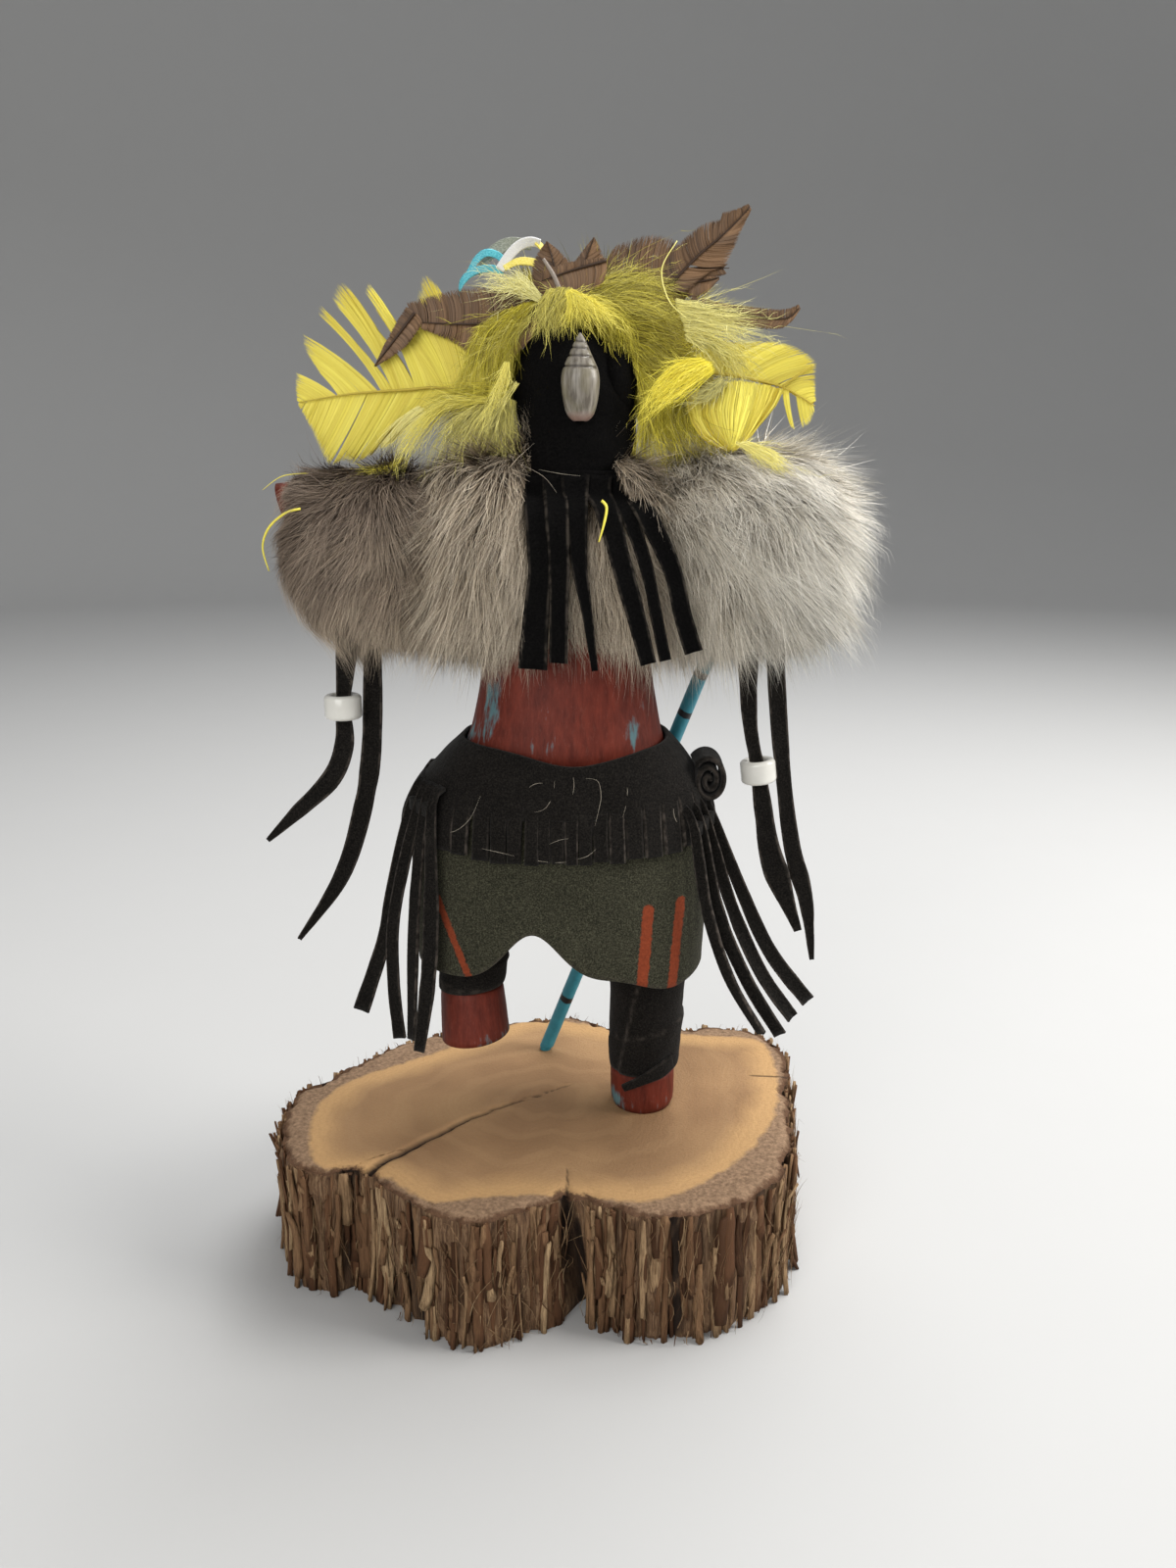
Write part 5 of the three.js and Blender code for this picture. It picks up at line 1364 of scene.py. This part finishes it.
def locks(build, guides, count, y, width=0.12, loose=0.6, wave=0.5, shade=0.6, middle_light=0.0, short=0.3,
          stations=6, depth=1.0, taper=2.5, seed=0, pale=0.0, bulge=0.0, fuzz=0.0):
    """Strands that lie between guide routes of (x, z), looser towards their tips."""
    marks = 24
    routes = np.array([spline([(a, y, b) for a, b in guide], marks) for guide in guides])
    place = rng.random(count) * (len(routes) - 1)
    low = np.minimum(place.astype(int), len(routes) - 2)
    part = (place - low)[:, None, None]
    whole = routes[low] * (1 - part) + routes[low + 1] * part
    cut = (1 - short * rng.random(count) ** 2)[:, None]
    t = np.linspace(0, 1, stations)[None]
    at = t * cut * (marks - 1)
    first = np.minimum(at.astype(int), marks - 2)
    rest = (at - first)[..., None]
    rows = np.arange(count)[:, None]
    path = whole[rows, first] * (1 - rest) + whole[rows, first + 1] * rest
    wander = loose * (1 + 1.8 * (rng.random((count, 1, 1)) < 0.14))
    path = path + rng.normal(0, 0.2, (count, 1, 3))
    path = path + rng.normal(0, 1, (count, 1, 3)) * [1, depth, 1] * wander * t[..., None] ** 1.4
    wavy = noise_vectors(path.reshape(-1, 3) + place.repeat(stations)[:, None] * 0.8, 4, seed)
    wavy = wavy.reshape(path.shape)
    path = path + wavy * wave * t[..., None]
    share = place / (len(routes) - 1)
    path[..., 1] -= bulge * np.sin(np.pi * share)[:, None] * np.sin(np.pi * t) ** 0.7
    banding = noise(np.stack([share * 22, share * 0, share * 0 + seed], 1), 1.5, seed)
    # Painted light and shade: middle_light makes the middle strands lighter and the edge strands darker, as
    # on a lit bulge.
    tone = shade + middle_light * (1 - 4 * np.abs(share - 0.5)) + 0.22 * banding
    facing = np.array([0, -1, 0.3]) + rng.normal(0, 0.25, (count, 3))
    facing = unit(facing + 0.4 * wavy[:, -1] * min(loose, 1))
    ribbons_along(build, path, facing, width * rng.uniform(0.6, 1.2, count), taper,
                  shade=np.clip(tone + rng.normal(0, 0.17, count), 0, 1), pale=pale)
    barbs = int(fuzz * count)
    if barbs:
        strand = rng.integers(0, count, barbs)
        knot = rng.integers(1, stations - 1, barbs)
        root = path[strand, knot] + (path[strand, knot + 1] - path[strand, knot]) * rng.random((barbs, 1))
        ahead = unit(path[strand, knot + 1] - path[strand, knot])
        aside = unit(np.cross(ahead, (0, -1, 0))) * rng.choice([-1, 1], barbs)[:, None]
        way = unit(0.9 * ahead + aside * rng.uniform(0.3, 1.0, (barbs, 1)) + rng.normal(0, 0.3, (barbs, 3)))
        bend = 0.5 * ahead - 0.3 * aside + rng.normal(0, 0.25, (barbs, 3))
        path = strand_paths(root, way, bend, rng.uniform(1.8, 4.2, barbs), 3)
        ribbons_along(build, path, unit(np.array([0, -1, 0.3]) + rng.normal(0, 0.3, (barbs, 3))), 0.09, 2,
                      shade=np.clip(tone[strand] + 0.12 + rng.normal(0, 0.2, barbs), 0, 1),
                      pale=min(pale + 0.1, 1))


def web(build, rachis, fingers, y, per_mm=9.0, width=0.3, bow=0.06, camber=1.0, seed=0, shade=0.6,
        ragged=0.07, stations=7, behind=0.0):
    """Barbs between guides of (share of the rachis, tip x, tip z), in fingers that hold together."""
    marks, along_guide = np.linspace(0, 1, 90), np.linspace(0, 1, 60)
    line = spline([(a, y, b) for a, b in rachis], len(marks))
    tangent = unit(np.gradient(line, axis=0))
    for number, finger in enumerate(fingers):
        guide = spline([(s * 40, x, z) for s, x, z in finger], len(along_guide))
        reach = np.linalg.norm(np.diff(guide[:, 1:], axis=0), axis=1).sum()
        span_root = abs(finger[-1][0] - finger[0][0]) * 30
        count = int(per_mm * max(reach, span_root) + 8)
        u = np.sort(rng.random(count))
        share = np.clip(np.interp(u, along_guide, guide[:, 0] / 40), 0, 1)
        root = np.stack([np.interp(share, marks, line[:, k]) for k in range(3)], 1)
        across, up = (np.interp(u, along_guide, guide[:, k]) for k in (1, 2))
        tip = np.stack([across, np.full(count, float(y)), up], 1)
        span = (tip - root) * (1 - ragged * rng.random(count) ** 2)[:, None]
        size = np.linalg.norm(span, axis=1, keepdims=True)
        lean = np.stack([np.interp(share, marks, tangent[:, k]) for k in range(3)], 1)
        ripple = noise(np.stack([u * reach, u * 0 + seed, u * 0 + number * 5], 1), 2.2, seed)
        t = np.linspace(0, 1, stations)[None, :, None]
        path = root[:, None] + span[:, None] * t - lean[:, None] * size[:, None] * bow * 4 * t * (1 - t)
        t = t[..., 0]
        path[..., 1] += (camber * t**2 * size / 15 + 0.45 * ripple[:, None] * t - 0.5 * np.sin(np.pi * t)
                         + rng.uniform(-0.12, 0.12, count)[:, None] + behind)
        fine = noise(np.stack([u * reach, u * 0, u * 0 + seed], 1), 0.7, seed + 2)
        tone = shade + 0.22 * ripple + 0.18 * fine
        facing = np.stack([0.35 * ripple, -np.ones(count), 0.2 * ripple + 0.25], 1)
        facing = unit(facing + rng.normal(0, 0.10, (count, 3)))
        ribbons_along(build, path, facing, width, 5, shade=np.clip(tone + rng.normal(0, 0.10, count), 0, 1))


def quill(build, rachis, y, radii=(0.4, 0.3, 0.12)):
    """The stem of a feather, on the front of its web."""
    rod(build, [(a, y - 0.35, b) for a, b in rachis], radii, 36, quill=1.0, shade=0.5)


LEFT_RACHIS = [(-11.2, 185.4), (-22, 187.2), (-29.3, 186.8), (-40.2, 186.1), (-47.6, 185.2), (-54.8, 184)]
LEFT_UPPER = [[(1, -55.6, 184.6), (0.9, -55.9, 187.6), (0.8, -55.7, 190.8)],
              [(0.79, -49.8, 190.4), (0.76, -51.2, 192.3), (0.68, -53.4, 196), (0.58, -53.7, 199.5)],
              [(0.56, -49.9, 203.6), (0.54, -49.2, 205.3), (0.5, -46.9, 202)],
              [(0.5, -46.7, 206.8), (0.47, -44.8, 210.4), (0.45, -43, 209.6), (0.43, -41.4, 206.4),
               (0.38, -38.9, 202.6)],
              [(0.38, -38.9, 208.2), (0.35, -38.2, 210.5), (0.32, -36.6, 207.2), (0.28, -34.4, 203.4),
               (0.24, -31.6, 199.6)],
              [(0.24, -31.8, 199.8), (0.18, -27.4, 206.6), (0.14, -25.4, 211.7), (0.1, -22.8, 210.4),
               (0.06, -18.4, 204), (0.02, -13, 197)]]
LEFT_LOWER = [[(1, -55.4, 183.6), (0.93, -54, 180.6), (0.84, -52.2, 176.6), (0.74, -51, 173),
               (0.64, -49.4, 169.8)],
              [(0.63, -48.7, 169.6), (0.56, -46.2, 170.8), (0.48, -43.6, 170.2)],
              [(0.47, -43, 170.4), (0.42, -41, 171.2), (0.37, -39, 172.4)],
              [(0.36, -38.6, 175), (0.3, -36.4, 173.6), (0.22, -31, 177.8), (0.14, -26, 180)]]
RIGHT_RACHIS = [(35, 190.4), (42.4, 190), (49.1, 189), (56.7, 187.2), (61, 185.1), (64.5, 183)]
RIGHT_UPPER = [[(0.02, 38.6, 195.4), (0.08, 43.4, 196.8), (0.15, 48.2, 197), (0.25, 52.6, 197.2),
                (0.36, 57.3, 196.7), (0.46, 61.4, 195.2), (0.56, 64.7, 192.6)],
               [(0.56, 64.6, 192.4), (0.75, 64.6, 188.7), (0.97, 65, 184)]]
RIGHT_LOWER = [[(0.72, 59.4, 178.4), (0.78, 60.6, 177.6)],
               [(0.84, 62.2, 178), (0.93, 63.9, 179.4), (1, 64.9, 182.4)]]
BOWL = [[(35.6, 185.6), (35.6, 181.8), (38, 177), (42, 174.3), (45, 173.4)],
        [(41.6, 187.7), (40.2, 181), (43.6, 175.4), (45.2, 173.4)],
        [(47.6, 188.2), (46.4, 181), (45.8, 173.4)], [(53, 187.4), (50.8, 181), (47.4, 175), (46, 173.4)],
        [(56.7, 186.4), (55.2, 183.3), (51.8, 179.2), (48, 175), (46, 173.4)]]


def yellow_feathers():
    build = Build()
    web(build, LEFT_RACHIS, LEFT_UPPER, -5, per_mm=12, width=0.26, seed=401, shade=0.62)
    web(build, LEFT_RACHIS, LEFT_LOWER, -5.2, per_mm=14, width=0.30, seed=403, shade=0.58, bow=0.03)
    # The two layers behind are painted darker, as shade behind the front barbs.
    web(build, LEFT_RACHIS, LEFT_UPPER[3:], -4, per_mm=6, width=0.36, seed=404, shade=0.45, ragged=0.2,
        behind=0.8)
    web(build, LEFT_RACHIS, LEFT_LOWER, -4, per_mm=7, width=0.42, seed=405, shade=0.42, bow=0.0, ragged=0.12,
        behind=0.8)
    quill(build, LEFT_RACHIS, -5.6)
    tuft = [[(-27, 183), (-33, 179), (-38.5, 172.6)], [(-25, 181.5), (-29.5, 177), (-34, 171.4)]]
    locks(build, tuft, 60, y=-6.6, width=0.16, shade=0.95, loose=0.7, pale=0.5)
    build.finish("yellow_plume_left", yellow, ["yellow_feather_left"])
    build = Build()
    web(build, RIGHT_RACHIS, RIGHT_UPPER, -8, per_mm=12, seed=411, shade=0.66, bow=0.12, camber=-0.6)
    # The layer behind is painted darker, as shade behind the front barbs.
    web(build, RIGHT_RACHIS, RIGHT_UPPER, -7, per_mm=6, width=0.4, seed=412, shade=0.5, bow=0.05, ragged=0.15,
        behind=0.8)
    web(build, RIGHT_RACHIS, RIGHT_LOWER, -7.6, per_mm=6, width=0.24, seed=413, shade=0.7, bow=0.05)
    quill(build, RIGHT_RACHIS, -8.5, (0.3, 0.26, 0.14))
    # Painted light and shade on the bowl: its middle strands lighter and its edges darker; the second layer,
    # behind, is painted darker as shade.
    locks(build, BOWL, 620, y=-9, width=0.34, shade=0.62, middle_light=0.36, loose=0.16, wave=0.12, short=0.06,
          bulge=2.4, taper=6, seed=4)
    locks(build, BOWL, 320, y=-8, width=0.42, shade=0.35, middle_light=0.2, loose=0.16, wave=0.1, short=0.06,
          bulge=1.6, taper=6, seed=5)
    fold = [(63.7, -9.7, 191.9), (60.4, -9.6, 189.7), (56.7, -9.3, 187.3)]
    rod(build, fold, (0.1, 0.3, 0.2), 16, 5, quill=0.7, shade=0.2)
    build.finish("yellow_plume_right", yellow, ["yellow_feather_right"])


# Brown feathers: for each web its rachis, the guides above and below, and how far forward it is
BROWN = {
    1: [([(0.7, 202.8), (-12.3, 200.9), (-28, 201.3)],
         [[(0, -1, 208), (0.25, -8, 208.8), (0.5, -14.3, 209), (0.75, -22.2, 207.6), (1, -29, 205.6)]],
         [[(0, -2, 196.2), (0.2, -7, 192.3), (0.4, -12, 192.3), (0.65, -19, 197), (1, -28, 200.6)]], -6.6),
        ([(-26.9, 203.2), (-31.4, 197.9), (-36.6, 191.8)],
         [[(0, -29, 204.6), (0.5, -33.2, 198.4), (1, -36.6, 191.9)]],
         [[(0, -25.2, 201), (0.5, -29.7, 195.6), (1, -36.5, 191.7)]], -7.4)],
    2: [([(6.1, 203), (4.8, 212.4), (3.1, 218.1)],
         [[(0, -0.6, 205.5), (0.4, -0.6, 212.4), (0.75, 0.9, 215.9), (1, 2.9, 218.1)]],
         [[(0, 10.4, 206), (0.4, 8.8, 213), (0.75, 6, 216.3), (1, 3.3, 218.1)]], -6.8)],
    3: [([(7.9, 202.6), (11, 212.2), (13.6, 218.6)],
         [[(0, 4.2, 206), (0.4, 8, 212.2), (0.75, 11.2, 216.2), (1, 13.4, 218.6)]],
         [[(0, 13.4, 206), (0.4, 16.2, 213), (0.75, 15.1, 216.6), (1, 13.8, 218.6)]], -8.4),
        ([(16.4, 213.6), (9, 211.7), (2, 209.4)], [[(0, 16.4, 214.3), (0.5, 9, 213.7), (1, 2, 211.8)]],
         [[(0, 15.2, 208.4), (0.5, 9.4, 206), (1, 4.6, 203.7)]], -9.8)],
    4: [([(15, 207), (25.7, 208.2), (35.1, 208.2)],
         [[(0, 16, 213), (0.12, 18.3, 217.7), (0.3, 21.2, 219), (0.5, 25.6, 220.3), (0.7, 30, 220),
           (0.85, 33.1, 218.2), (1, 36, 212)]],
         [[(0, 15.6, 204), (1, 34, 205)]], -4.6)],
    5: [([(30.4, 208.6), (36.9, 215), (42.9, 219.8), (48.3, 225.1)],
         [[(0, 29.2, 212.6), (0.12, 31.2, 216.2), (0.3, 33.8, 219), (0.48, 38.1, 222), (0.62, 42.4, 223)],
          [(0.64, 42.2, 224.2), (0.82, 45, 224.8), (1, 47.8, 225.8)]],
         [[(0, 34.4, 207.4), (0.14, 39.6, 211.6), (0.24, 42, 212.6)],
          [(0.28, 43.4, 213.2), (0.5, 45.4, 217), (0.7, 47.2, 221.4), (1, 48.7, 224.6)]],
         -7.4),
        ([(31, 209), (38, 212.2), (44.2, 212.8)], [[(0.2, 35, 213.2), (0.9, 44, 213.8)]],
         [[(0.3, 36, 209.8), (0.9, 43.8, 211.6)]], -5.6)],
    6: [([(35.2, 205.3), (45.4, 202.8), (56.1, 201.6), (59.9, 204)],
         [[(0, 36.1, 206.3), (0.4, 45.4, 204.8), (0.8, 55.6, 203.8), (1, 59.7, 204.8)]],
         [[(0, 37, 203.2), (0.4, 44.4, 200.4), (0.8, 54.4, 199.4), (0.92, 57.9, 200.7), (1, 60.2, 203.8)]],
         -9.4),
        ([(32.3, 209.9), (37.2, 209.9), (42, 210.7)],
         [[(0, 32.8, 211.2), (0.5, 37.2, 211.5), (1, 41.8, 211)]],
         [[(0, 32.8, 208.7), (0.4, 35.7, 206.6), (0.7, 39, 207.4), (1, 41.8, 210.3)]], -6)],
}


def brown_feathers():
    for number, webs in BROWN.items():
        build = Build()
        for i, (rachis, upper, lower, y) in enumerate(webs):
            seed = 430 + 10 * number + 3 * i
            for side, (guides, tone) in enumerate(((upper, 0.42), (lower, 0.66))):
                web(build, rachis, guides, y, per_mm=9, width=0.26, bow=0.10, camber=0.8, seed=seed + side,
                    shade=tone, stations=6)
                # The layer behind is painted darker, as shade behind the front barbs.
                web(build, rachis, guides, y + 0.7, per_mm=5, width=0.36, bow=0.04, camber=1,
                    seed=seed + 5 + side, shade=tone - 0.2, ragged=0.12, stations=5)
            quill(build, rachis, y - 0.2, (0.34, 0.24, 0.1))
        if number == 2:
            pale_quill = [(2.4, -10.6, 213.9), (4.7, -10.8, 210.4), (6.4, -10.8, 206.4)]
            rod(build, pale_quill, (0.35, 0.5, 0.55), 16, 8, pale=1.0)
        build.finish(f"brown_plume_{number}", brown, [f"brown_feather_{number}"])


# Tufts of down, as rounded boxes: centre, reach and the two powers that set how square they are
RUFF = [((20, 4.5, 196.5), (8, 6, 6.5), 2.2, 2.2), ((-9.5, 5, 187), (8.6, 7, 15), 2.2, 2.2),
        ((9, 3, 203.5), (19, 8, 6.8), 2.2, 2.2), ((31.5, 4, 191), (11.5, 8, 16.5), 2.2, 2.2)]
# Locks of down: how far forward, strands, tone, paleness, looseness and the guide routes of (x, z)
DOWN = {
    "over_ear": (-9.5, 260, 0.4, 0, 0.7, [
        [(11, 205), (15, 200.6), (17.4, 196.6)], [(13, 206), (19, 201), (21.6, 194)],
        [(16, 206), (22.6, 200), (24, 190)]]),
    "forehead": (-14.5, 420, 0.85, 0.1, 0.8, [
        [(7.5, 206.4), (8.6, 203.2), (7.3, 199.7)], [(8, 206.6), (10.6, 203.2), (12.3, 199.9)],
        [(8.8, 206.6), (13.4, 203.2), (17.1, 199.3)], [(9.7, 206.2), (15.6, 203.8), (21.2, 199.7)]]),
    "crown": (-9, 620, 0.42, 0.1, 1.0, [
        [(12.3, 209), (21.1, 211.4), (29.9, 210.4)], [(13, 207.4), (23.3, 209.4), (34.3, 207.4)],
        [(13.6, 205.7), (23.3, 207), (35.3, 203.3)], [(14.5, 203.3), (24.5, 203.3), (36.3, 197.7)]]),
    # Painted shade: this lock is darker, as down lying in shade under the crown.
    "right_in_shade": (-8, 620, 0.28, 0, 1.1, [
        [(18.1, 202.6), (27.9, 200.9), (38, 196.8)], [(20.8, 198.8), (29, 196.8), (36.6, 190)],
        [(22.6, 194.7), (28.5, 189.4), (33.8, 183.6)], [(23.5, 190.4), (25.9, 181.9), (28.7, 173.6)]]),
    "right_pale": (-10.5, 460, 0.8, 0.55, 1.5, [
        [(32, 205.5), (40.9, 203.9), (50.1, 202.7)], [(32.5, 203.5), (42.7, 201.4), (54.7, 198.9)],
        [(33.9, 200.6), (42.8, 198.9), (52.1, 196)], [(34.4, 197.3), (39.3, 194.8), (45.3, 189.4)]]),
    "right_fall": (-9.4, 260, 0.66, 0.3, 1.0, [
        [(37.2, 197.7), (43.1, 192), (44.2, 186.1)], [(41.2, 197.7), (46.2, 194.1), (49.3, 187.8)]]),
    "bright": (-15, 460, 0.97, 0, 0.7, [
        [(37.2, 192.7), (32, 191.8), (27.2, 187.3), (25.5, 183.3)],
        [(39.4, 191.8), (34.2, 189), (28.8, 185.6), (25.8, 182.7)],
        [(40.3, 189.8), (35.4, 186.3), (30.4, 184), (26.2, 182.1)]]),
    "shadow": (-12, 160, 0.4, 0.5, 0.9, [
        [(42.2, 189), (37.2, 186.3), (32.3, 185)], [(43.8, 187.5), (39.5, 184.2), (34.6, 183.3)]]),
    "gold": (-7.6, 820, 0.42, 0, 0.9, [
        [(24.9, 187.1), (23.9, 178.4), (24.2, 166.4)], [(27.6, 187.5), (27, 177.9), (29.2, 166.4)],
        [(31.2, 187.1), (31.6, 177.5), (35.5, 168.4)], [(34.8, 186.6), (35.4, 177.5), (40.9, 169.8)],
        [(38.4, 186), (39.6, 177.5), (47, 170.6)]]),
    "left_side": (-9, 620, 0.36, 0, 0.9, [
        [(0.8, 205.3), (-3.9, 198.7), (-5.9, 186.8)], [(-1.6, 204.9), (-7.3, 197.7), (-9.5, 184.7)],
        [(-4, 204.1), (-10.6, 196.6), (-12.5, 184)], [(-6.3, 203.3), (-13.9, 197.7), (-18.7, 185.5)]]),
    "curls": (-11, 150, 0.85, 0.7, 0.9, [
        [(0.9, 207.1), (-4.7, 210.1), (-9.5, 210.5), (-12.8, 208.9)],
        [(1.4, 205), (-3.9, 207.3), (-8.3, 206.7), (-13, 208.7)],
        [(1.8, 206.1), (-0.8, 209.9), (-3.8, 211.1), (-7.3, 209.9)]]),
    "streaks": (-12.5, 330, 0.5, 0.2, 0.6, [
        [(8.8, 207.4), (7.2, 203.6), (6.2, 199.4)], [(6.2, 207.6), (4.2, 204), (3.7, 199.4)],
        [(3.2, 207), (1.2, 203.4), (0.2, 198.7)]]),
    "over_brown": (-9, 130, 0.5, 0.2, 1.2, [
        [(-0.6, 202.5), (-8.2, 198.4), (-17.1, 196.7)], [(-1.9, 200), (-8.7, 194.2), (-15.1, 189.5)]]),
    "wisp": (-14, 64, 0.9, 0.3, 0.75, [
        [(-6.4, 191.8), (-7.8, 188.7), (-9.3, 185.3), (-10.2, 182.2), (-12.6, 176.7)],
        [(-5.4, 192), (-5.7, 188.2), (-7.4, 184), (-10, 180.4), (-12.6, 176.5)]]),
    "wisp_b": (-14, 22, 0.85, 0.45, 0.6, [
        [(-4, 188.1), (-6.7, 184.4), (-9.9, 179.2), (-11.5, 177.2)],
        [(-3.4, 187.4), (-5.5, 184.4), (-9.1, 179), (-11.2, 177.1)]]),
    "swoop": (-9.4, 240, 0.82, 0.25, 0.9, [
        [(-11.1, 184.8), (-18.4, 184.6), (-24.4, 182.8), (-29, 177.2), (-31.8, 171.9), (-33.4, 165)],
        [(-11.1, 183.8), (-19.5, 182.6), (-25, 178), (-28.6, 171.2)]]),
    "base": (-8.6, 300, 0.45, 0, 0.9, [
        [(-6, 188), (-16, 187.6), (-25, 185.5)], [(-6, 183), (-16, 182.5), (-24, 181.6)]]),
    "pale_web": (-8.6, 900, 0.6, 0.4, 1.2, [
        [(-4.6, 184), (-5, 176), (-4.6, 166)], [(-7, 184.6), (-10, 176), (-11, 165.6)],
        [(-9, 185), (-15.5, 177), (-18, 166)], [(-11, 185), (-21, 179), (-26.4, 168)]]),
    "over_fur": (-13.5, 170, 0.95, 0.5, 1.0, [
        [(49.5, 174.8), (55, 172), (61.2, 166)], [(46, 174.6), (51, 171), (55.7, 166.5)]]),
    "bits": (-7, 40, 0.8, 0, 0.7, [
        [(-31, 171.6), (-37, 169), (-43, 169.6)], [(-32, 170.6), (-38, 168.2), (-42, 168.4)]]),
}


# Single long barbs: route and radius
STRAYS = [([(-52.7, -19.6, 160.2), (-56.1, -19.8, 159.3), (-60.4, -18.6, 156), (-62.6, -17, 151.5),
            (-61.8, -16, 146.1)], 0.3),
          ([(-53.1, -8, 168.1), (-59.4, -8, 167.4), (-64.2, -8, 164.3)], 0.12),
          ([(15.3, -26.6, 162.1), (16.4, -26.8, 160.6), (15.8, -27.2, 157), (14.7, -27, 153.2)], 0.32)]


def down():
    """Soft tufts round the head, locks of long barbs over them, and a few single barbs."""
    build = Build()
    for i, shape in enumerate(RUFF):
        # The skin is painted dark, as the shade deep in the down.
        tuft_skin(build, shape, 0.86, rows=20, sides=36, rough=1.4, seed=500 + i, shade=0.10)
        count = 2100
        root, normals, _ = tuft_surface(unit(rng.normal(size=(count, 3))), shape, 0.8)
        way = unit(0.55 * normals + 0.9 * noise_vectors(root, 6, 510 + i) + 0.7 * unit(root - [9, 0, 190])
                   + rng.normal(0, 0.18, (count, 3)))
        size = rng.uniform(6, 12, count)
        bend = 0.45 * noise_vectors(root + 9, 5, 520 + i) + rng.normal(0, 0.08, (count, 3)) + [0, 0, -0.15]
        path = strand_paths(root, way, bend, size, 5)
        shade = np.clip(0.40 + 0.35 * noise(root, 4, 530 + i) + rng.normal(0, 0.15, count), 0, 1)
        ribbons_along(build, round_hood(path), unit(normals + rng.normal(0, 0.25, (count, 3))), 0.15, 2,
                      shade=shade)
    for i, (y, count, tone, pale, loose, guides) in enumerate(DOWN.values()):
        locks(build, guides, int(count * 0.72), y=y, width=0.105, loose=loose * 1.25, wave=min(loose, 1),
              shade=tone, pale=pale, depth=1.3, seed=540 + i, short=0.75, fuzz=1.5)
    arch = [(31.9, -12, 217.3), (28.6, -12.4, 211.5), (30.2, -12.6, 205.1), (34.2, -12.4, 201.4)]
    rod(build, arch, (0.12, 0.16, 0.1), 26, 5, shade=0.95, pale=0.5)
    for route, radius in STRAYS:
        rod(build, route, (radius, radius, radius * 0.5), 24, 5, shade=0.95, pale=0.1)
    return build.finish("yellow_down", yellow_fluff, ["down_ruff"])


def round_hood(points):
    """Keeps down off the front of the hood."""
    out = points.copy()
    x, z = points[..., 0], points[..., 2]
    gap = np.sqrt(((x - 8.8) / 14.8) ** 2 + (np.maximum(z - 184, 0) / 15) ** 2 + 1e-6)
    push = np.where((z < 198) & (gap < 1), 1 / gap, 1)
    out[..., 0] = 8.8 + (x - 8.8) * push
    return out


# Ribbons: the routes, the direction across, the widths and two colours
RIBBONS = {
    "turquoise": ([[(-18.4, 5, 208.2), (-17.2, 5, 211.8), (-14.6, 5, 213.9), (-11, 5, 214.6),
                    (-7.6, 6, 214.2)],
                   [(-16.4, 6, 212.8), (-14, 6, 216.6), (-11.6, 6, 218.2), (-9, 7, 217.8), (-7, 7, 216)]],
                  (0.2, 0.3, 1), (1.6, 1.7, 1.7, 1.6), (0.05, 0.38, 0.48), (0.16, 0.62, 0.72)),
    "white": ([[(-8.4, 3, 214), (-5.9, 3, 217.2), (-3.6, 3, 219.2), (-1.1, 3, 220), (1.2, 3, 219.6)]],
              (0.45, 0.1, -0.9), (2.1, 2.3, 2.3, 2), (0.80, 0.80, 0.80), (0.92, 0.92, 0.92)),
    "yellow": ([[(-7, -1, 213.6), (-4, -1, 215), (-1, -1, 215), (2, -1, 214.2)],
                [(0.2, 3, 220), (1.6, 3.4, 218.6), (1.2, 3.6, 216)]],
               (0, 0.7, 1), (1.8, 2, 1.8), (0.72, 0.58, 0.08), (0.92, 0.80, 0.2)),
    "gauze": ([[(-14, 8, 214), (-10.6, 8, 218.4), (-6, 8, 220.6), (-1, 8, 220.2)]], (0.3, 0.3, 1),
              (2.2, 3, 2.2), (0.16, 0.18, 0.14), (0.36, 0.38, 0.31)),
}


def ribbons():
    for i, (name, (routes, across, widths, dark, light)) in enumerate(RIBBONS.items()):
        build = Build()
        for k, route in enumerate(routes):
            suede_strip(build, route, widths, 0.4, across=across, twist=0.5, steps=36, seed=600 + 3 * i + k)
        s = Shader(name + "_ribbon", roughness=0.45, specular=0.4)
        weave = s.noise(0.45, detail=2, vector=s.stretched(1, 1, 3))
        s.colour(s.mix(s.ramp(weave, (0.35, 0.0), (0.65, 1.0)), dark, light))
        s.bump(weave, 0.08)
        build.finish(name + "_ribbon", s.material, [] if name == "gauze" else ["ribbon_" + name])


black_suede = suede_material("black_suede", (0.0030, 0.0027, 0.0024), (0.0120, 0.0106, 0.0092),
                             speck=0.30).material
deep_suede = suede_material("deep_black_suede", (0.0018, 0.0017, 0.0017), (0.006, 0.0056, 0.0053), sheen=0.0,
                            edge_colour=(0.05, 0.042, 0.034)).material
trunk_slice()
bark_strips()
carved_figure()
suede_hood()
chin_fringe()
olive_shell()
kilt()
fringed_belt()
hip_fringe("black_fringe_left", LEFT_FRINGE, "hip_fringe_left", 200)
hip_fringe("black_fringe_right", RIGHT_FRINGE, "hip_fringe_right", 220)
leggings()
staff()
ties_and_beads()
furs()
yellow = feather_material("yellow_feather", (0.50, 0.36, 0.012), (0.94, 0.84, 0.14), (0.50, 0.38, 0.05),
                          (0.92, 0.88, 0.5))
yellow_fluff = feather_material("yellow_down", (0.12, 0.092, 0.006), (0.97, 0.84, 0.07), (0.6, 0.5, 0.2),
                                (0.88, 0.85, 0.46))
brown = feather_material("brown_feather", (0.038, 0.018, 0.008), (0.285, 0.165, 0.085), (0.045, 0.024, 0.013),
                         (0.62, 0.52, 0.44))
yellow_feathers()
brown_feathers()
down()
ribbons()
